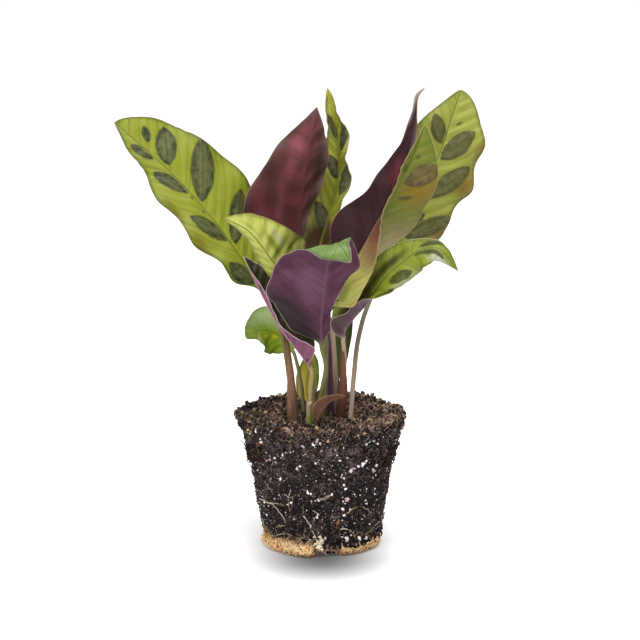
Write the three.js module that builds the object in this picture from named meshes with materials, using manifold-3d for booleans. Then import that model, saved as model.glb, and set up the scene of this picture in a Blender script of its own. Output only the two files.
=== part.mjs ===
// A young calathea on its bare root ball, out of its pot. Millimetres, +Z up, the underside of the fibre pad at z = 0.
// The camera side of the plant is -Y, and the right of the photo is +X.
// Every leaf is one grown piece: its stalk, its midrib ridge and its waved blade are one skin.
import * as THREE from "three";
import Module from "manifold-3d";

// ---- driving dimensions ----
const PAD_TOP = 8.7; // top of the root fibre pad
const PAD_RADIUS = 39.5;
const PEAT_BOTTOM = 9; // the peat plug starts a hair above the pad
const PEAT_TOP = 92; // mean height of the crumbly top
const SEAT_TOP = 93; // stalks stand upright up to here
const SEAT_BOTTOM = 79; // and down to here inside their holes
const SEAT_GAP = 0.4; // clearance round a stalk in its hole
const BLADE = 0.8; // thickness of a blade
const RIDGE = 0.7; // how far the midrib stands out of the underside
const SHEATH = 0.8; // thickness of a dry sheath

// ---- the leaves ----
// stalk and midrib: points the centre line passes through. facing: which way the upper side looks, base to tip.
// width, rise, curl and wave hold the left side, then the right side, of the leaf seen on its upper side with its tip up.
// width: half-width in mm at even steps along the midrib, before the outline rounds its two ends.
// rise: degrees a side lifts from the plane across the facing; curl: degrees it bends further on the way to its margin.
// wave: depth in mm, how many waves along the margin, and where the first one starts.
const LEAVES = [
  {
    "name": "leaf_left_large", "steps": 27, "radius": [2.0, 1.5],
    "stalk": [[-19, -26, 93], [-21, -27, 117], [-25, -22, 144], [-31, -14, 165]],
    "midrib": [[-39, -8, 176], [-54, -12, 201], [-73, -11.5, 228], [-100, -6, 257.5], [-139, 4, 291]],
    "facing": [[0.1, -0.9, 0.3], [0, -1, 0.2], [0.05, -1, 0.25]],
    "width": [[9, 20, 18, 24, 19, 23, 16, 15, 8], [14, 25, 32, 36, 37, 35, 35, 36, 34]],
    "outline": [0.5, 0.6], "rise": [[35, 35, 25], [-20, -18, 0, 10]], "curl": [[-10, -20, -20], [-10, -20, -20]],
    "wave": [[2.5, 5.2, 0.1], [2, 4.2, 0.4]]
  },
  {
    "name": "leaf_centre_maroon", "steps": 23, "radius": [2.0, 1.5],
    "stalk": [[-6, -20, 93], [-7, -14, 126], [-12, -6, 143], [-15, 8, 175]],
    "midrib": [[-16, 16, 201], [-15, 12, 223], [-12, 9, 251], [-8, 9, 275], [-3, 14, 300]],
    "facing": [[0.1, 1, 0], [0.1, 1, 0.1], [0.1, 1, 0.1]],
    "width": [[5, 6, 7, 10, 14, 17, 19, 18, 12], [8, 22, 42, 43, 34, 30, 27, 21, 15]],
    "outline": [0.5, 0.8], "rise": [[20, 15, 15], [-34, -34, -32, -24, -10, 0, 5]], "curl": [[0, 0, 0], [0, 0, 0]],
    "wave": [[2, 4, 0], [2, 4, 0.3]]
  },
  {
    "name": "leaf_centre_folded", "steps": 25, "radius": [2.0, 1.5],
    "stalk": [[5, 9, 93], [6, 10, 121], [4, 14, 147], [0, 24, 175]],
    "midrib": [[-6, 32, 178], [-2, 35, 197], [4, 34, 219], [11, 32, 244], [11, 31, 268], [8, 30, 290], [4, 34, 310]],
    "facing": [[0.1, -1, 0.1], [0.1, -1, 0.1], [0.05, -1, 0.15]],
    "width": [[22, 25, 22, 17, 18.5, 18, 15, 13, 11], [22, 20, 12, 9, 11, 11, 14.5, 14, 12]],
    "outline": [0.45, 0.7], "rise": [[20, 40, 50, 50], [25, 50, 55, 50]], "curl": [[-20, -20, -20], [-20, -10, -10]],
    "wave": [[2.5, 4, 0], [3, 4.5, 0.3]]
  },
  {
    "name": "leaf_right_maroon", "steps": 25, "radius": [3.0, 1.7],
    "stalk": [[6.5, -4, 93], [6.8, -10, 124], [7, -10, 144], [10.5, -7, 159]],
    "midrib": [[16, -4, 169], [29, 2, 201], [43, 5, 232], [53, 7, 262], [59.5, 7, 280], [61.5, 7, 296], [63.5, 5, 308], [69, 3, 314.5]],
    "facing": [[0.5, 0.85, 0.1], [0.45, 0.85, 0.1], [0.5, 0.85, 0.1], [0.6, 0.8, 0.1]],
    "width": [[3, 5, 8, 9, 8, 7, 7.2, 6.8, 9], [12, 21, 29, 27, 19, 11, 9, 7, 9]],
    "outline": [0.45, 0.8], "rise": [[40, 40, 20], [15, 15, 30]], "curl": [[0, 0, 0], [0, 0, 0]],
    "wave": [[1, 4, 0], [2, 4, 0.6]]
  },
  {
    "name": "leaf_right_cupped", "steps": 24, "radius": [1.7, 1.5],
    "stalk": [[11, -9, 93], [9.5, -17, 119], [8.5, -24, 140], [7, -30, 156]],
    "midrib": [[4.5, -34, 168.5], [15, -36, 192], [26, -34, 209], [35, -30, 225], [44, -27, 241], [53, -24, 256], [61, -21, 273], [69, -18, 293]],
    "facing": [[0.05, -1, 0.1], [0.05, -1, 0.1], [0.05, -1, 0.15]],
    "width": [[26, 25, 22, 18, 14, 12, 12, 10, 8], [12, 12, 17, 24, 29, 34, 36, 36, 26]],
    "outline": [0.36, 0.7], "rise": [[128, 128, 122, 105, 85, 65, 55, 50], [-25, -38, -33, -12, 5]], "curl": [[0, 0, 0], [0, -10, -10]],
    "wave": [[0.8, 3, 0.2], [2, 4, 0.1]]
  },
  {
    "name": "leaf_right_large", "steps": 26, "radius": [1.7, 1.5],
    "stalk": [[19.5, -28, 93], [21.5, -25, 119], [25, -16, 147], [33, 0, 170]],
    "midrib": [[50, 20, 199], [60, 20, 220], [71, 20, 245], [81, 22, 269], [88, 25, 290], [95, 32, 309]],
    "facing": [[0.1, -1, 0.2], [0.1, -1, 0.2], [0, -1, 0.2]],
    "width": [[11, 19, 19, 20, 22, 24, 24, 17, 9], [16, 32, 28, 26, 30, 27, 31, 28, 24]],
    "outline": [0.5, 0.5], "rise": [[15, 15, 20], [10, 10, 20]], "curl": [[-15, -20, -20], [-15, -20, -20]],
    "wave": [[2, 4, 0.3], [2.5, 4.2, 0.15]]
  },
  {
    "name": "leaf_front_light", "steps": 20, "radius": [1.6, 1.3],
    "stalk": [[1, -12, 93], [3, -14, 124], [2, -20, 154], [-6, -32, 178]],
    "midrib": [[-14, -40, 189], [-23, -44, 196], [-32, -48, 206], [-40, -51, 218], [-49, -51, 228], [-64, -46, 235]],
    "facing": [[0.1, -0.8, 0.6], [0.05, -0.8, 0.6], [-0.1, -0.8, 0.5]],
    "width": [[6, 10, 9, 9, 8, 7, 6, 6, 5], [30, 28, 27, 25, 23, 20, 17, 15, 12]],
    "outline": [0.5, 0.7], "rise": [[-30, -40, -20], [10, 15, 20]], "curl": [[-10, -20, -10], [10, 10, 0]],
    "wave": [[1, 4, 0.2], [1.5, 3.5, 0.4]]
  },
  {
    "name": "leaf_front_purple", "steps": 28, "radius": [1.8, 1.5],
    "stalk": [[-3.5, -25, 93], [0, -28, 112], [3, -31, 131]],
    "midrib": [[0, -34, 146], [0, -44, 167], [2, -54, 188], [4, -61, 206], [7, -66, 218], [9, -70, 223], [12, -75, 222], [15, -78, 219], [19, -80, 212]],
    "facing": [[-0.1, 1, 0.3], [-0.1, 1, 0.3], [-0.1, 1, 0.4], [-0.1, 0.95, 0.5], [-0.1, 0, 1], [-0.2, -1, 0.3]],
    "width": [[6, 5, 6, 9, 16, 24, 22, 12, 8], [34, 31, 36, 39, 36, 36, 36, 30, 16]],
    "outline": [0.5, 0.6], "rise": [[10, 10, 10, 0], [20, 15, 10, 0, 0]], "curl": [[0, 0, 0], [0, 0, 0]],
    "wave": [[1.5, 4, 0.2], [2, 3.5, 0.4]]
  },
  {
    "name": "leaf_left_shaded", "steps": 20, "radius": [1.7, 1.4],
    "stalk": [[-7, -28, 93], [-7.5, -30, 112]],
    "midrib": [[-7, -31, 129.5], [-16, -31, 141.5], [-27, -30, 156], [-36, -29, 172], [-44, -28, 188], [-52, -25, 205]],
    "facing": [[0.6, -0.7, 0.3], [0.6, -0.7, 0.3], [0.6, -0.6, 0.3]],
    "width": [[26, 16, 7, 2.5, 3, 4, 4, 3.5, 3], [21, 21, 21, 21, 19, 18, 18, 17, 10]],
    "outline": [0.5, 0.6], "rise": [[125, 118, 100, 95, 95, 95], [10, 10, 10, 10]], "curl": [[0, 0, 0], [0, 0, 0]],
    "wave": [[0.5, 3, 0.2], [1.5, 3.5, 0.4]]
  },
  {
    "name": "leaf_right_drooping", "steps": 25, "radius": [1.6, 1.4],
    "stalk": [[13, -21, 93], [15, -23, 117], [15.5, -27, 137]],
    "midrib": [[14.5, -33, 150.5], [16.5, -36, 159], [22, -38, 166.5], [31, -40, 177.5], [43, -42, 195], [55, -45, 206], [65, -48, 214], [78, -51, 215], [90, -54, 201]],
    "facing": [[-0.1, -0.7, 0.7], [-0.1, -0.75, 0.7], [0.1, -0.75, 0.7], [0.35, -0.8, 0.7]],
    "width": [[42, 25, 13, 14, 16, 18, 12, 14, 14], [48, 11, 8.5, 13, 16, 16, 21, 20, 12]],
    "outline": [0.32, 0.8], "rise": [[-15, 5, 15, 0], [112, 110, 90, 25, 5, 0, 0, 0]], "curl": [[-10, -20, -10], [20, -10, -10]],
    "wave": [[1, 4, 0.2], [1.2, 4, 0.4]]
  },
  {
    "name": "leaf_low_green", "steps": 15, "radius": [1.4, 1.2],
    "stalk": [[-12, -6, 93], [-14, -5, 113]],
    "midrib": [[-19, -2, 134], [-26, 0, 143], [-36, -2, 149], [-45, -5, 149], [-51, -8, 145]],
    "facing": [[-0.1, -0.9, 0.4], [-0.2, -0.9, 0.4], [-0.3, -0.8, 0.5]],
    "width": [[11, 15, 15, 15, 15, 14, 12, 9, 6], [8, 10, 11, 13, 15, 17, 16, 11, 7]],
    "outline": [0.5, 0.5], "rise": [[10, 10, 0], [10, 10, 0]], "curl": [[-10, -20, -10], [-20, -20, -10]],
    "wave": [[0.8, 3, 0.2], [1, 3, 0.4]]
  },
  {
    "name": "leaf_low_yellow", "steps": 12, "radius": [1.3, 1.1],
    "stalk": [[-9, 0, 93]],
    "midrib": [[-9, 3, 97], [-10, 7, 106], [-9, 9, 117], [-6, 10, 131]],
    "facing": [[0, -1, 0.2], [0.1, -1, 0.2]],
    "width": [[8, 8], [8, 8]],
    "outline": [0.5, 0.6], "rise": [[10, 10, 0], [10, 10, 0]], "curl": [[0, 0, 0], [0, 0, 0]],
    "wave": [[0.6, 3, 0.2], [0.6, 3, 0.4]]
  },
  {
    "name": "leaf_low_dark", "steps": 14, "radius": [1.4, 1.2],
    "stalk": [[13, 4, 93]],
    "midrib": [[11, 7, 112], [13, 10, 130], [16, 13, 146], [20, 16, 160]],
    "facing": [[0.3, -1, 0.2], [0.3, -1, 0.2]],
    "width": [[6, 6], [6, 6]],
    "outline": [0.6, 0.6], "rise": [[10, 10, 0], [10, 10, 0]], "curl": [[0, 0, 0], [0, 0, 0]],
    "wave": [[0.6, 3, 0.2], [0.6, 3, 0.4]]
  },
  {
    "name": "bract_dry", "steps": 10, "radius": [1.3, 1.2],
    "stalk": [[-3.5, -35, 93]],
    "midrib": [[-3, -35.5, 95], [-0.5, -36.5, 101], [4, -37.5, 107], [10, -37.5, 110.5], [16, -36.5, 112]],
    "facing": [[-0.6, 0.3, 0.7], [-0.4, 0.3, 0.9], [-0.2, 0.4, 0.9]],
    "width": [[4, 6, 5, 4], [6, 8, 7, 4]],
    "outline": [0.5, 0.6], "rise": [[30, 25, 15], [35, 30, 15]], "curl": [[10, 10, 5], [15, 15, 5]],
    "wave": [[0, 2, 0.2], [0, 2, 0.4]]
  },
];

// ---- the dry sheaths, each an open tube round a stalk ----
// stalk: the leaf whose stalk it wraps; top: height of its pointed end; inner: radius inside at the foot and at the top;
// open: degrees of the tube left open at the foot and at the top; turn: which way the opening looks, degrees from +X.
const SHEATHS = [
  { name: "sheath_left", stalk: "leaf_left_large", top: 148, inner: [3.3, 2.6], open: [70, 290], turn: 150 },
  { name: "sheath_right", stalk: "leaf_right_drooping", top: 141, inner: [2.6, 2.1], open: [60, 290], turn: 60 },
  { name: "sheath_middle", stalk: "leaf_right_cupped", top: 118, inner: [2.3, 2.1], open: [80, 290], turn: 200 },
];

const STUB = { x: -8.7, y: -33.5, radius: 2, top: 106.5, slant: 1.2 };

// ---- small helpers ----
const V = (a) => new THREE.Vector3(a[0], a[1], a[2]);
const mix = (a, b, t) => a + (b - a) * t;
const clamp = (x, a = 0, b = 1) => Math.min(b, Math.max(a, x));
const step = (x) => x * x * (3 - 2 * x);
const rad = Math.PI / 180;

// A value read off a smooth curve through evenly spaced control values.
function smooth(values, u) {
  const n = values.length;
  if (n === 1) return values[0];
  const s = clamp(u) * (n - 1);
  const k = Math.min(Math.floor(s), n - 2);
  const f = s - k;
  const at = (i) => (i < 0 ? 2 * values[0] - values[1] : i >= n ? 2 * values[n - 1] - values[n - 2] : values[i]);
  const [a, b, c, d] = [at(k - 1), at(k), at(k + 1), at(k + 2)];
  return 0.5 * (2 * b + (c - a) * f + (2 * a - 5 * b + 4 * c - d) * f * f + (3 * b - a - 3 * c + d) * f * f * f);
}
const smooth3 = (points, u) =>
  new THREE.Vector3(...[0, 1, 2].map((i) => smooth(points.map((p) => p[i]), u)));

// Points at the given shares of the length of a smooth curve. The curve may aim at a point it doesn't reach.
function along(points, shares, aim) {
  const all = aim ? [...points, aim] : points;
  const last = (points.length - 1) / (all.length - 1);
  const fine = Array.from({ length: 401 }, (_, i) => smooth3(all, (i / 400) * last));
  const run = [0];
  for (let i = 1; i < fine.length; i++) run.push(run[i - 1] + fine[i].distanceTo(fine[i - 1]));
  return shares.map((s) => {
    const want = s * run[400];
    let i = 1;
    while (i < 400 && run[i] < want) i++;
    const t = (i - 1 + (want - run[i - 1]) / (run[i] - run[i - 1] || 1)) / 400;
    return smooth3(all, t * last);
  });
}
const even = (n) => Array.from({ length: n }, (_, i) => i / (n - 1));
// Steps that crowd a little at both ends, where an outline turns fastest.
const eased = (n) => even(n).map((t) => 0.5 * t + 0.25 * (1 - Math.cos(Math.PI * t)));

// Repeatable noise: a hash of three whole numbers, and its smooth version.
function hash(i, j, k) {
  const s = Math.sin(i * 127.1 + j * 311.7 + k * 74.7) * 43758.5453;
  return s - Math.floor(s);
}
function noise(x, y, z) {
  const [i, j, k] = [Math.floor(x), Math.floor(y), Math.floor(z)];
  const [f, g, h] = [step(x - i), step(y - j), step(z - k)];
  const at = (a, b, c) => hash(i + a, j + b, k + c);
  return mix(
    mix(mix(at(0, 0, 0), at(1, 0, 0), f), mix(at(0, 1, 0), at(1, 1, 0), f), g),
    mix(mix(at(0, 0, 1), at(1, 0, 1), f), mix(at(0, 1, 1), at(1, 1, 1), f), g),
    h,
  );
}

// A closed skin through rings of equal length, with a flat fan over each end.
function skin(rings) {
  const m = rings[0].length;
  const position = [];
  for (const ring of rings) for (const p of ring) position.push(p.x, p.y, p.z);
  const index = [];
  for (let i = 0; i + 1 < rings.length; i++)
    for (let j = 0; j < m; j++) {
      const [a, b] = [i * m + j, i * m + ((j + 1) % m)];
      const [c, d] = [a + m, b + m];
      // the diagonal leans the same way on both faces of a blade
      if (j < m / 2) index.push(a, b, d, a, d, c);
      else index.push(a, b, c, b, d, c);
    }
  for (const [ring, start, flip] of [
    [rings[0], 0, true],
    [rings[rings.length - 1], (rings.length - 1) * m, false],
  ]) {
    const centre = ring.reduce((s, p) => s.add(p), new THREE.Vector3()).divideScalar(m);
    const c = position.length / 3;
    position.push(centre.x, centre.y, centre.z);
    for (let j = 0; j < m; j++) {
      const [a, b] = [start + j, start + ((j + 1) % m)];
      index.push(...(flip ? [c, b, a] : [c, a, b]));
    }
  }
  return { position, index };
}

// ---- a leaf: stalk, midrib ridge and blade in one skin ----
function leafRings(leaf, across = 3) {
  const columns = 2 * across + 1;
  const foot = leaf.stalk[0];
  const stalkSteps = leaf.stalk.length > 1 ? 4 + 2 * (leaf.stalk.length - 1) : 3;
  const stalk = along([...leaf.stalk, leaf.midrib[0]], even(stalkSteps), leaf.midrib[1]).slice(0, -1);
  const shares = eased(leaf.steps);
  const blade = along(leaf.midrib, shares);
  const centre = [V([foot[0], foot[1], SEAT_BOTTOM]), ...stalk, ...blade];
  const first = centre.length - blade.length; // where the blade starts
  const tangent = centre.map((_, i) => {
    if (i <= 1) return V([0, 0, 1]);
    const [a, b] = [centre[Math.max(0, i - 1)], centre[Math.min(centre.length - 1, i + 1)]];
    return b.clone().sub(a).normalize();
  });
  const grid = [];
  centre.forEach((c, i) => {
    const u = i < first ? 0 : shares[i - first];
    const t = tangent[i];
    const face = smooth3(leaf.facing, u);
    const n = face.sub(t.clone().multiplyScalar(face.dot(t))).normalize();
    const s = n.clone().cross(t);
    const peak = leaf.outline[0] / (leaf.outline[0] + leaf.outline[1]);
    const v = clamp(u, 1e-6, 1 - 1e-6);
    const round = (v / peak) ** leaf.outline[0] * ((1 - v) / (1 - peak)) ** leaf.outline[1];
    const ends = clamp(Math.min(u / 0.12, (1 - u) / 0.15));
    const row = [];
    for (let j = 0; j < columns; j++) {
      const side = j < across ? 0 : 1;
      const f = Math.abs(j - across) / across;
      const sign = side ? -1 : 1;
      const least = u > 0.5 ? 0.7 : leaf.radius[1];
      const w = Math.max(smooth(leaf.width[side], u) * round, least) * f;
      // where a side is narrow, and next to the stalk, it lies flatter, so its two walls never meet
      const open =
        clamp((Math.max(smooth(leaf.width[side], u) * round, least) - 0.4) / 2.4) * mix(0.5, 1, step(clamp(u / 0.1)));
      const a = smooth(leaf.rise[side], u) * rad * open;
      const b = smooth(leaf.curl[side], u) * rad * f * open;
      const chord = w * (Math.abs(b) > 1e-4 ? Math.sin(b / 2) / (b / 2) : 1);
      const [depth, count, phase] = leaf.wave[side];
      const h = depth * f * f * Math.sin(2 * Math.PI * (count * u + phase)) * ends;
      const x = chord * Math.cos(a + b / 2) - h * Math.sin(a + b);
      const z = chord * Math.sin(a + b / 2) + h * Math.cos(a + b);
      row.push(c.clone().addScaledVector(s, sign * x).addScaledVector(n, z));
    }
    grid.push({ c, u, n, s, row, stalk: i < first });
  });
  const rings = grid.map(({ c, u, n, s, row, stalk: isStalk }, i) => {
    const r = isStalk ? mix(leaf.radius[0], leaf.radius[1], clamp((i - 1) / Math.max(1, first - 1))) : leaf.radius[1];
    const turned = isStalk ? 0 : step(clamp(u / 0.12));
    const top = [], under = [];
    for (let j = 0; j < columns; j++) {
      const around = Math.PI * (j + 0.5) / columns;
      const disc = (sign) =>
        c.clone().addScaledVector(s, r * Math.cos(around)).addScaledVector(n, sign * r * Math.sin(around));
      let up = disc(1), down = disc(-1);
      if (!isStalk) {
        const [p, q] = [grid[Math.max(i - 1, first)].row, grid[Math.min(i + 1, grid.length - 1)].row];
        const length = q[j].clone().sub(p[j]);
        const [l, k] = [row[Math.max(0, j - 1)], row[Math.min(columns - 1, j + 1)]];
        // both arms count alike, so at a fold the normal halves it however unequal they are
        const reach = (q) => q.clone().sub(row[j]).normalize();
        const normal = reach(l).sub(reach(k)).cross(length).multiplyScalar(-1).normalize();
        if (!Number.isFinite(normal.x) || normal.dot(n) < -0.99) normal.copy(n);
        // at a fold the two faces are set apart along the line that halves it
        const arm = row[j].clone().sub(l).normalize();
        const spread = j > 0 && j < columns - 1 ? Math.max(0.45, Math.sqrt(1 - clamp(normal.dot(arm), -1, 1) ** 2)) : 1;
        const half = BLADE / 2 / spread;
        const ridge = RIDGE * Math.max(0, 1 - Math.abs(j - across) * 1.0) * clamp(1.15 - u);
        up.lerp(row[j].clone().addScaledVector(normal, half), turned);
        down.lerp(row[j].clone().addScaledVector(normal, -half - ridge), turned);
      }
      top.push(up);
      under.push(down);
    }
    return [...top, ...under.reverse()];
  });
  return { rings, centre, first };
}

// ---- geometry in and out of solids ----
const wasm = await Module();
wasm.setup();
const solid = ({ position, index }) =>
  new wasm.Manifold(
    new wasm.Mesh({ numProp: 3, vertProperties: new Float32Array(position), triVerts: new Uint32Array(index) }),
  );
function geometryOf(manifold) {
  const mesh = manifold.getMesh();
  const v = new Float32Array(mesh.numVert * 3);
  for (let i = 0; i < mesh.numVert; i++)
    v.set(mesh.vertProperties.subarray(i * mesh.numProp, i * mesh.numProp + 3), i * 3);
  const g = new THREE.BufferGeometry();
  g.setAttribute("position", new THREE.BufferAttribute(v, 3));
  g.setIndex(new THREE.BufferAttribute(new Uint32Array(mesh.triVerts), 1));
  g.computeVertexNormals();
  return g;
}
const outward = (shape) => {
  const made = solid(shape);
  if (made.volume() >= 0) return made;
  const flipped = [];
  for (let i = 0; i < shape.index.length; i += 3) flipped.push(shape.index[i], shape.index[i + 2], shape.index[i + 1]);
  return solid({ position: shape.position, index: flipped });
};

const group = new THREE.Group();
function add(name, manifold, colour, roughness) {
  const mesh = new THREE.Mesh(
    geometryOf(manifold),
    new THREE.MeshStandardMaterial({ name, color: colour, roughness, side: THREE.DoubleSide }),
  );
  mesh.name = name;
  group.add(mesh);
}

const COLOURS = {
  leaf_left_large: 0x8fa32b, leaf_centre_maroon: 0x5c2a3f, leaf_centre_folded: 0x6f7d24, leaf_right_maroon: 0x54293a,
  leaf_right_cupped: 0x9aa83a, leaf_right_large: 0x99a531, leaf_front_light: 0xa3b23e, leaf_front_purple: 0x6e4464,
  leaf_left_shaded: 0x3c4a26, leaf_right_drooping: 0x93a53f, leaf_low_green: 0x86a82a, leaf_low_yellow: 0xa0ad3a,
  leaf_low_dark: 0x5c7428, bract_dry: 0x8c5a45,
};
const made = new Map();
for (const leaf of LEAVES) {
  const built = leafRings(leaf, leaf.name.startsWith("leaf_low") || leaf.name === "bract_dry" ? 2 : 3);
  made.set(leaf.name, built);
  add(leaf.name, outward(skin(built.rings)), COLOURS[leaf.name], 0.5);
}

// ---- the sheaths ----
for (const sheath of SHEATHS) {
  const { centre } = made.get(sheath.stalk);
  const path = centre.filter((p) => p.z >= SEAT_BOTTOM);
  const heights = [SEAT_BOTTOM, SEAT_TOP, ...even(6).slice(1).map((t) => mix(SEAT_TOP, sheath.top, t))];
  const rings = heights.map((z, k) => {
    let i = 1;
    while (i < path.length - 1 && path[i].z < z) i++;
    const [a, b] = [path[i - 1], path[i]];
    const c = a.clone().lerp(b, clamp((z - a.z) / (b.z - a.z || 1)));
    const t = clamp((z - SEAT_TOP) / (sheath.top - SEAT_TOP));
    const inner = mix(sheath.inner[0], sheath.inner[1], t);
    const open = mix(sheath.open[0], sheath.open[1], step(t)) * rad;
    const thick = mix(SHEATH, 0.65, t);
    const arc = 2 * Math.PI - open;
    const outerRing = [], innerRing = [];
    for (let j = 0; j < 9; j++) {
      const angle = sheath.turn * rad + open / 2 + arc * (j / 8);
      const d = new THREE.Vector3(Math.cos(angle), Math.sin(angle), 0);
      outerRing.push(c.clone().addScaledVector(d, inner + thick).setZ(z));
      innerRing.push(c.clone().addScaledVector(d, inner).setZ(z));
    }
    return [...outerRing, ...innerRing.reverse()];
  });
  const m = rings[0].length, position = [], index = [];
  for (const ring of rings) for (const p of ring) position.push(p.x, p.y, p.z);
  for (let i = 0; i + 1 < rings.length; i++)
    for (let j = 0; j < m; j++) {
      const [a, b] = [i * m + j, i * m + ((j + 1) % m)];
      index.push(a, b, b + m, a, b + m, a + m);
    }
  const strip = (start, flip) => {
    for (let j = 0; j < 8; j++) {
      const [a, b, c, d] = [start + j, start + j + 1, start + m - 1 - j, start + m - 2 - j];
      if (flip) index.push(a, d, b, a, c, d);
      else index.push(a, b, d, a, d, c);
    }
  };
  strip(0, true);
  strip((rings.length - 1) * m, false);
  add(sheath.name, outward({ position, index }), sheath.name === "sheath_right" ? 0x7a4a3c : 0x8a6248, 0.8);
}

// ---- the cut stub ----
{
  const rings = [[SEAT_BOTTOM, STUB.radius], [SEAT_TOP, STUB.radius], [STUB.top - 5, STUB.radius * 0.95], [STUB.top, STUB.radius]].map(
    ([z, r], k) =>
      even(13).slice(0, 12).map((t) => {
        const a = t * 2 * Math.PI;
        return V([STUB.x + r * Math.cos(a), STUB.y + r * Math.sin(a), z + (k === 3 ? STUB.slant * Math.sin(a + 0.6) : 0)]);
      }),
  );
  add("stub_cut", outward(skin(rings)), 0xa9ad6a, 0.6);
}

// ---- the peat plug ----
const AROUND = 46;
function plug() {
  // radius, height, how rough it is sideways, how rough it is upwards
  const profile = [
    [37.0, PEAT_BOTTOM, 0, 0], [39.3, 10.4, 0.5, 0], [41.5, 24, 1.0, 0.5], [43.6, 38, 1.1, 0.8], [45.8, 51, 1.1, 0.8],
    [47.8, 61, 1.0, 0.6], [49.6, 65.5, 0.8, 0.4], [53.4, 69.5, 0.9, 0.5], [54.6, 75, 1.1, 0.6], [56.0, 83, 1.2, 0.6],
    [57.6, 89, 1.3, 1.0], [55.8, 92.6, 1.2, 2.0], [49.5, 92.2, 1.0, 2.6], [41.5, 91.6, 1.0, 2.0], [32.5, 91.6, 1.0, 0.6],
  ];
  const position = [], index = [];
  profile.forEach(([r, z, out, lift], k) => {
    for (let j = 0; j < AROUND; j++) {
      const a = (j / AROUND) * 2 * Math.PI;
      const n = noise(3.2 * Math.cos(a) * (r / 16) + 9, 3.2 * Math.sin(a) * (r / 16) + 5, z / 5) - 0.5;
      const m = noise(r * Math.cos(a) / 5 + 40, r * Math.sin(a) / 5 + 20, 3) - 0.5;
      const rr = r + 2 * out * n;
      position.push(rr * Math.cos(a), rr * Math.sin(a), z + 2 * lift * m);
    }
  });
  const rows = profile.length;
  const low = position.length / 3;
  position.push(0, 0, PEAT_BOTTOM);
  const high = low + 1;
  position.push(0, 0, PEAT_TOP - 0.6);
  for (let k = 0; k + 1 < rows; k++)
    for (let j = 0; j < AROUND; j++) {
      const [a, b] = [k * AROUND + j, k * AROUND + ((j + 1) % AROUND)];
      if ((j + k) % 2) index.push(a, b, b + AROUND, a, b + AROUND, a + AROUND);
      else index.push(a, b, a + AROUND, b, b + AROUND, a + AROUND);
    }
  for (let j = 0; j < AROUND; j++) {
    const next = (j + 1) % AROUND;
    index.push(low, next, j);
    index.push(high, (rows - 1) * AROUND + j, (rows - 1) * AROUND + next);
  }
  return outward({ position, index });
}
// White perlite grains stand half out of the side and the top of the plug.
function grain(x, y, z, size, spin) {
  const g = new THREE.OctahedronGeometry(size, 0);
  g.deleteAttribute("normal");
  g.deleteAttribute("uv");
  const m = new THREE.Matrix4().compose(
    V([x, y, z]),
    new THREE.Quaternion().setFromEuler(new THREE.Euler(spin * 2.1, spin * 3.7, spin * 5.3)),
    new THREE.Vector3(1, 0.8 + 0.3 * hash(spin, 2, 3), 0.75),
  );
  g.applyMatrix4(m);
  const p = g.attributes.position, seen = new Map(), position = [], index = [];
  for (let i = 0; i < p.count; i++) {
    const key = [p.getX(i), p.getY(i), p.getZ(i)].map((v) => v.toFixed(4)).join();
    if (!seen.has(key)) {
      seen.set(key, position.length / 3);
      position.push(p.getX(i), p.getY(i), p.getZ(i));
    }
    index.push(seen.get(key));
  }
  return outward({ position, index });
}
let peat = plug();
const GRAINS = 44;
for (let i = 0; i < GRAINS; i++) {
  const a = 2 * Math.PI * ((i * 0.618034 + 0.11 * hash(i, 1, 1)) % 1);
  const z = mix(13, 88, (i + 0.5) / GRAINS) + 2 * (hash(i, 4, 1) - 0.5);
  const r = z < 62 ? mix(39.4, 47.9, (z - 10.4) / 50.6) : z < 68 ? mix(47.9, 52, (z - 62) / 6) : mix(53.4, 57.4, (z - 69.5) / 19.5);
  const size = 1.3 + 1.3 * hash(i, 7, 2);
  peat = peat.add(grain((r - 0.2) * Math.cos(a), (r - 0.2) * Math.sin(a), z, size, i + 1));
}
// Plain holes for everything that stands in the peat.
const STANDS = [
  ...LEAVES.map((leaf) => {
    const dressed = SHEATHS.find((s) => s.stalk === leaf.name);
    return [leaf.stalk[0][0], leaf.stalk[0][1], dressed ? dressed.inner[0] + SHEATH : leaf.radius[0]];
  }),
  [STUB.x, STUB.y, STUB.radius],
];
for (const [x, y, r] of STANDS)
  peat = peat.subtract(
    wasm.Manifold.cylinder(30, r + SEAT_GAP, r + SEAT_GAP, 12).translate([x, y, SEAT_BOTTOM - 0.5]),
  );
add("soil_root_ball", peat, 0x3a3030, 1);

// ---- the pad of root fibre, notched where the ribs of the pot stood ----
{
  const around = 56, position = [], index = [];
  // direction in degrees from +X, half-width in degrees, depth in mm
  const notches = [[-84, 12.5, 9], [5, 11, 7], [92, 12, 8], [178, 11, 7]];
  const reach = (deg) => {
    let r = PAD_RADIUS + 1.1 * (noise(deg / 14 + 3, 2, 7) - 0.5);
    for (const [at, half, depth] of notches) {
      const off = Math.abs(((deg - at + 540) % 360) - 180);
      r -= depth * step(clamp((half + 3.5 - off) / 7));
    }
    return r;
  };
  const levels = [[0, -1.4], [1.6, -0.2], [5.2, 0], [PAD_TOP, -0.5]];
  for (const [z, out] of levels)
    for (let j = 0; j < around; j++) {
      const deg = (j / around) * 360, r = reach(deg) + out;
      position.push(r * Math.cos(deg * rad), r * Math.sin(deg * rad), z);
    }
  const low = position.length / 3;
  position.push(0, 0, 0, 0, 0, PAD_TOP);
  for (let k = 0; k < 3; k++)
    for (let j = 0; j < around; j++) {
      const [a, b] = [k * around + j, k * around + ((j + 1) % around)];
      index.push(a, b, b + around, a, b + around, a + around);
    }
  for (let j = 0; j < around; j++) {
    const next = (j + 1) % around;
    index.push(low, next, j, low + 1, 3 * around + j, 3 * around + next);
  }
  add("fibre_mat", outward({ position, index }), 0xb98a55, 1);
}

export default group;
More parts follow.
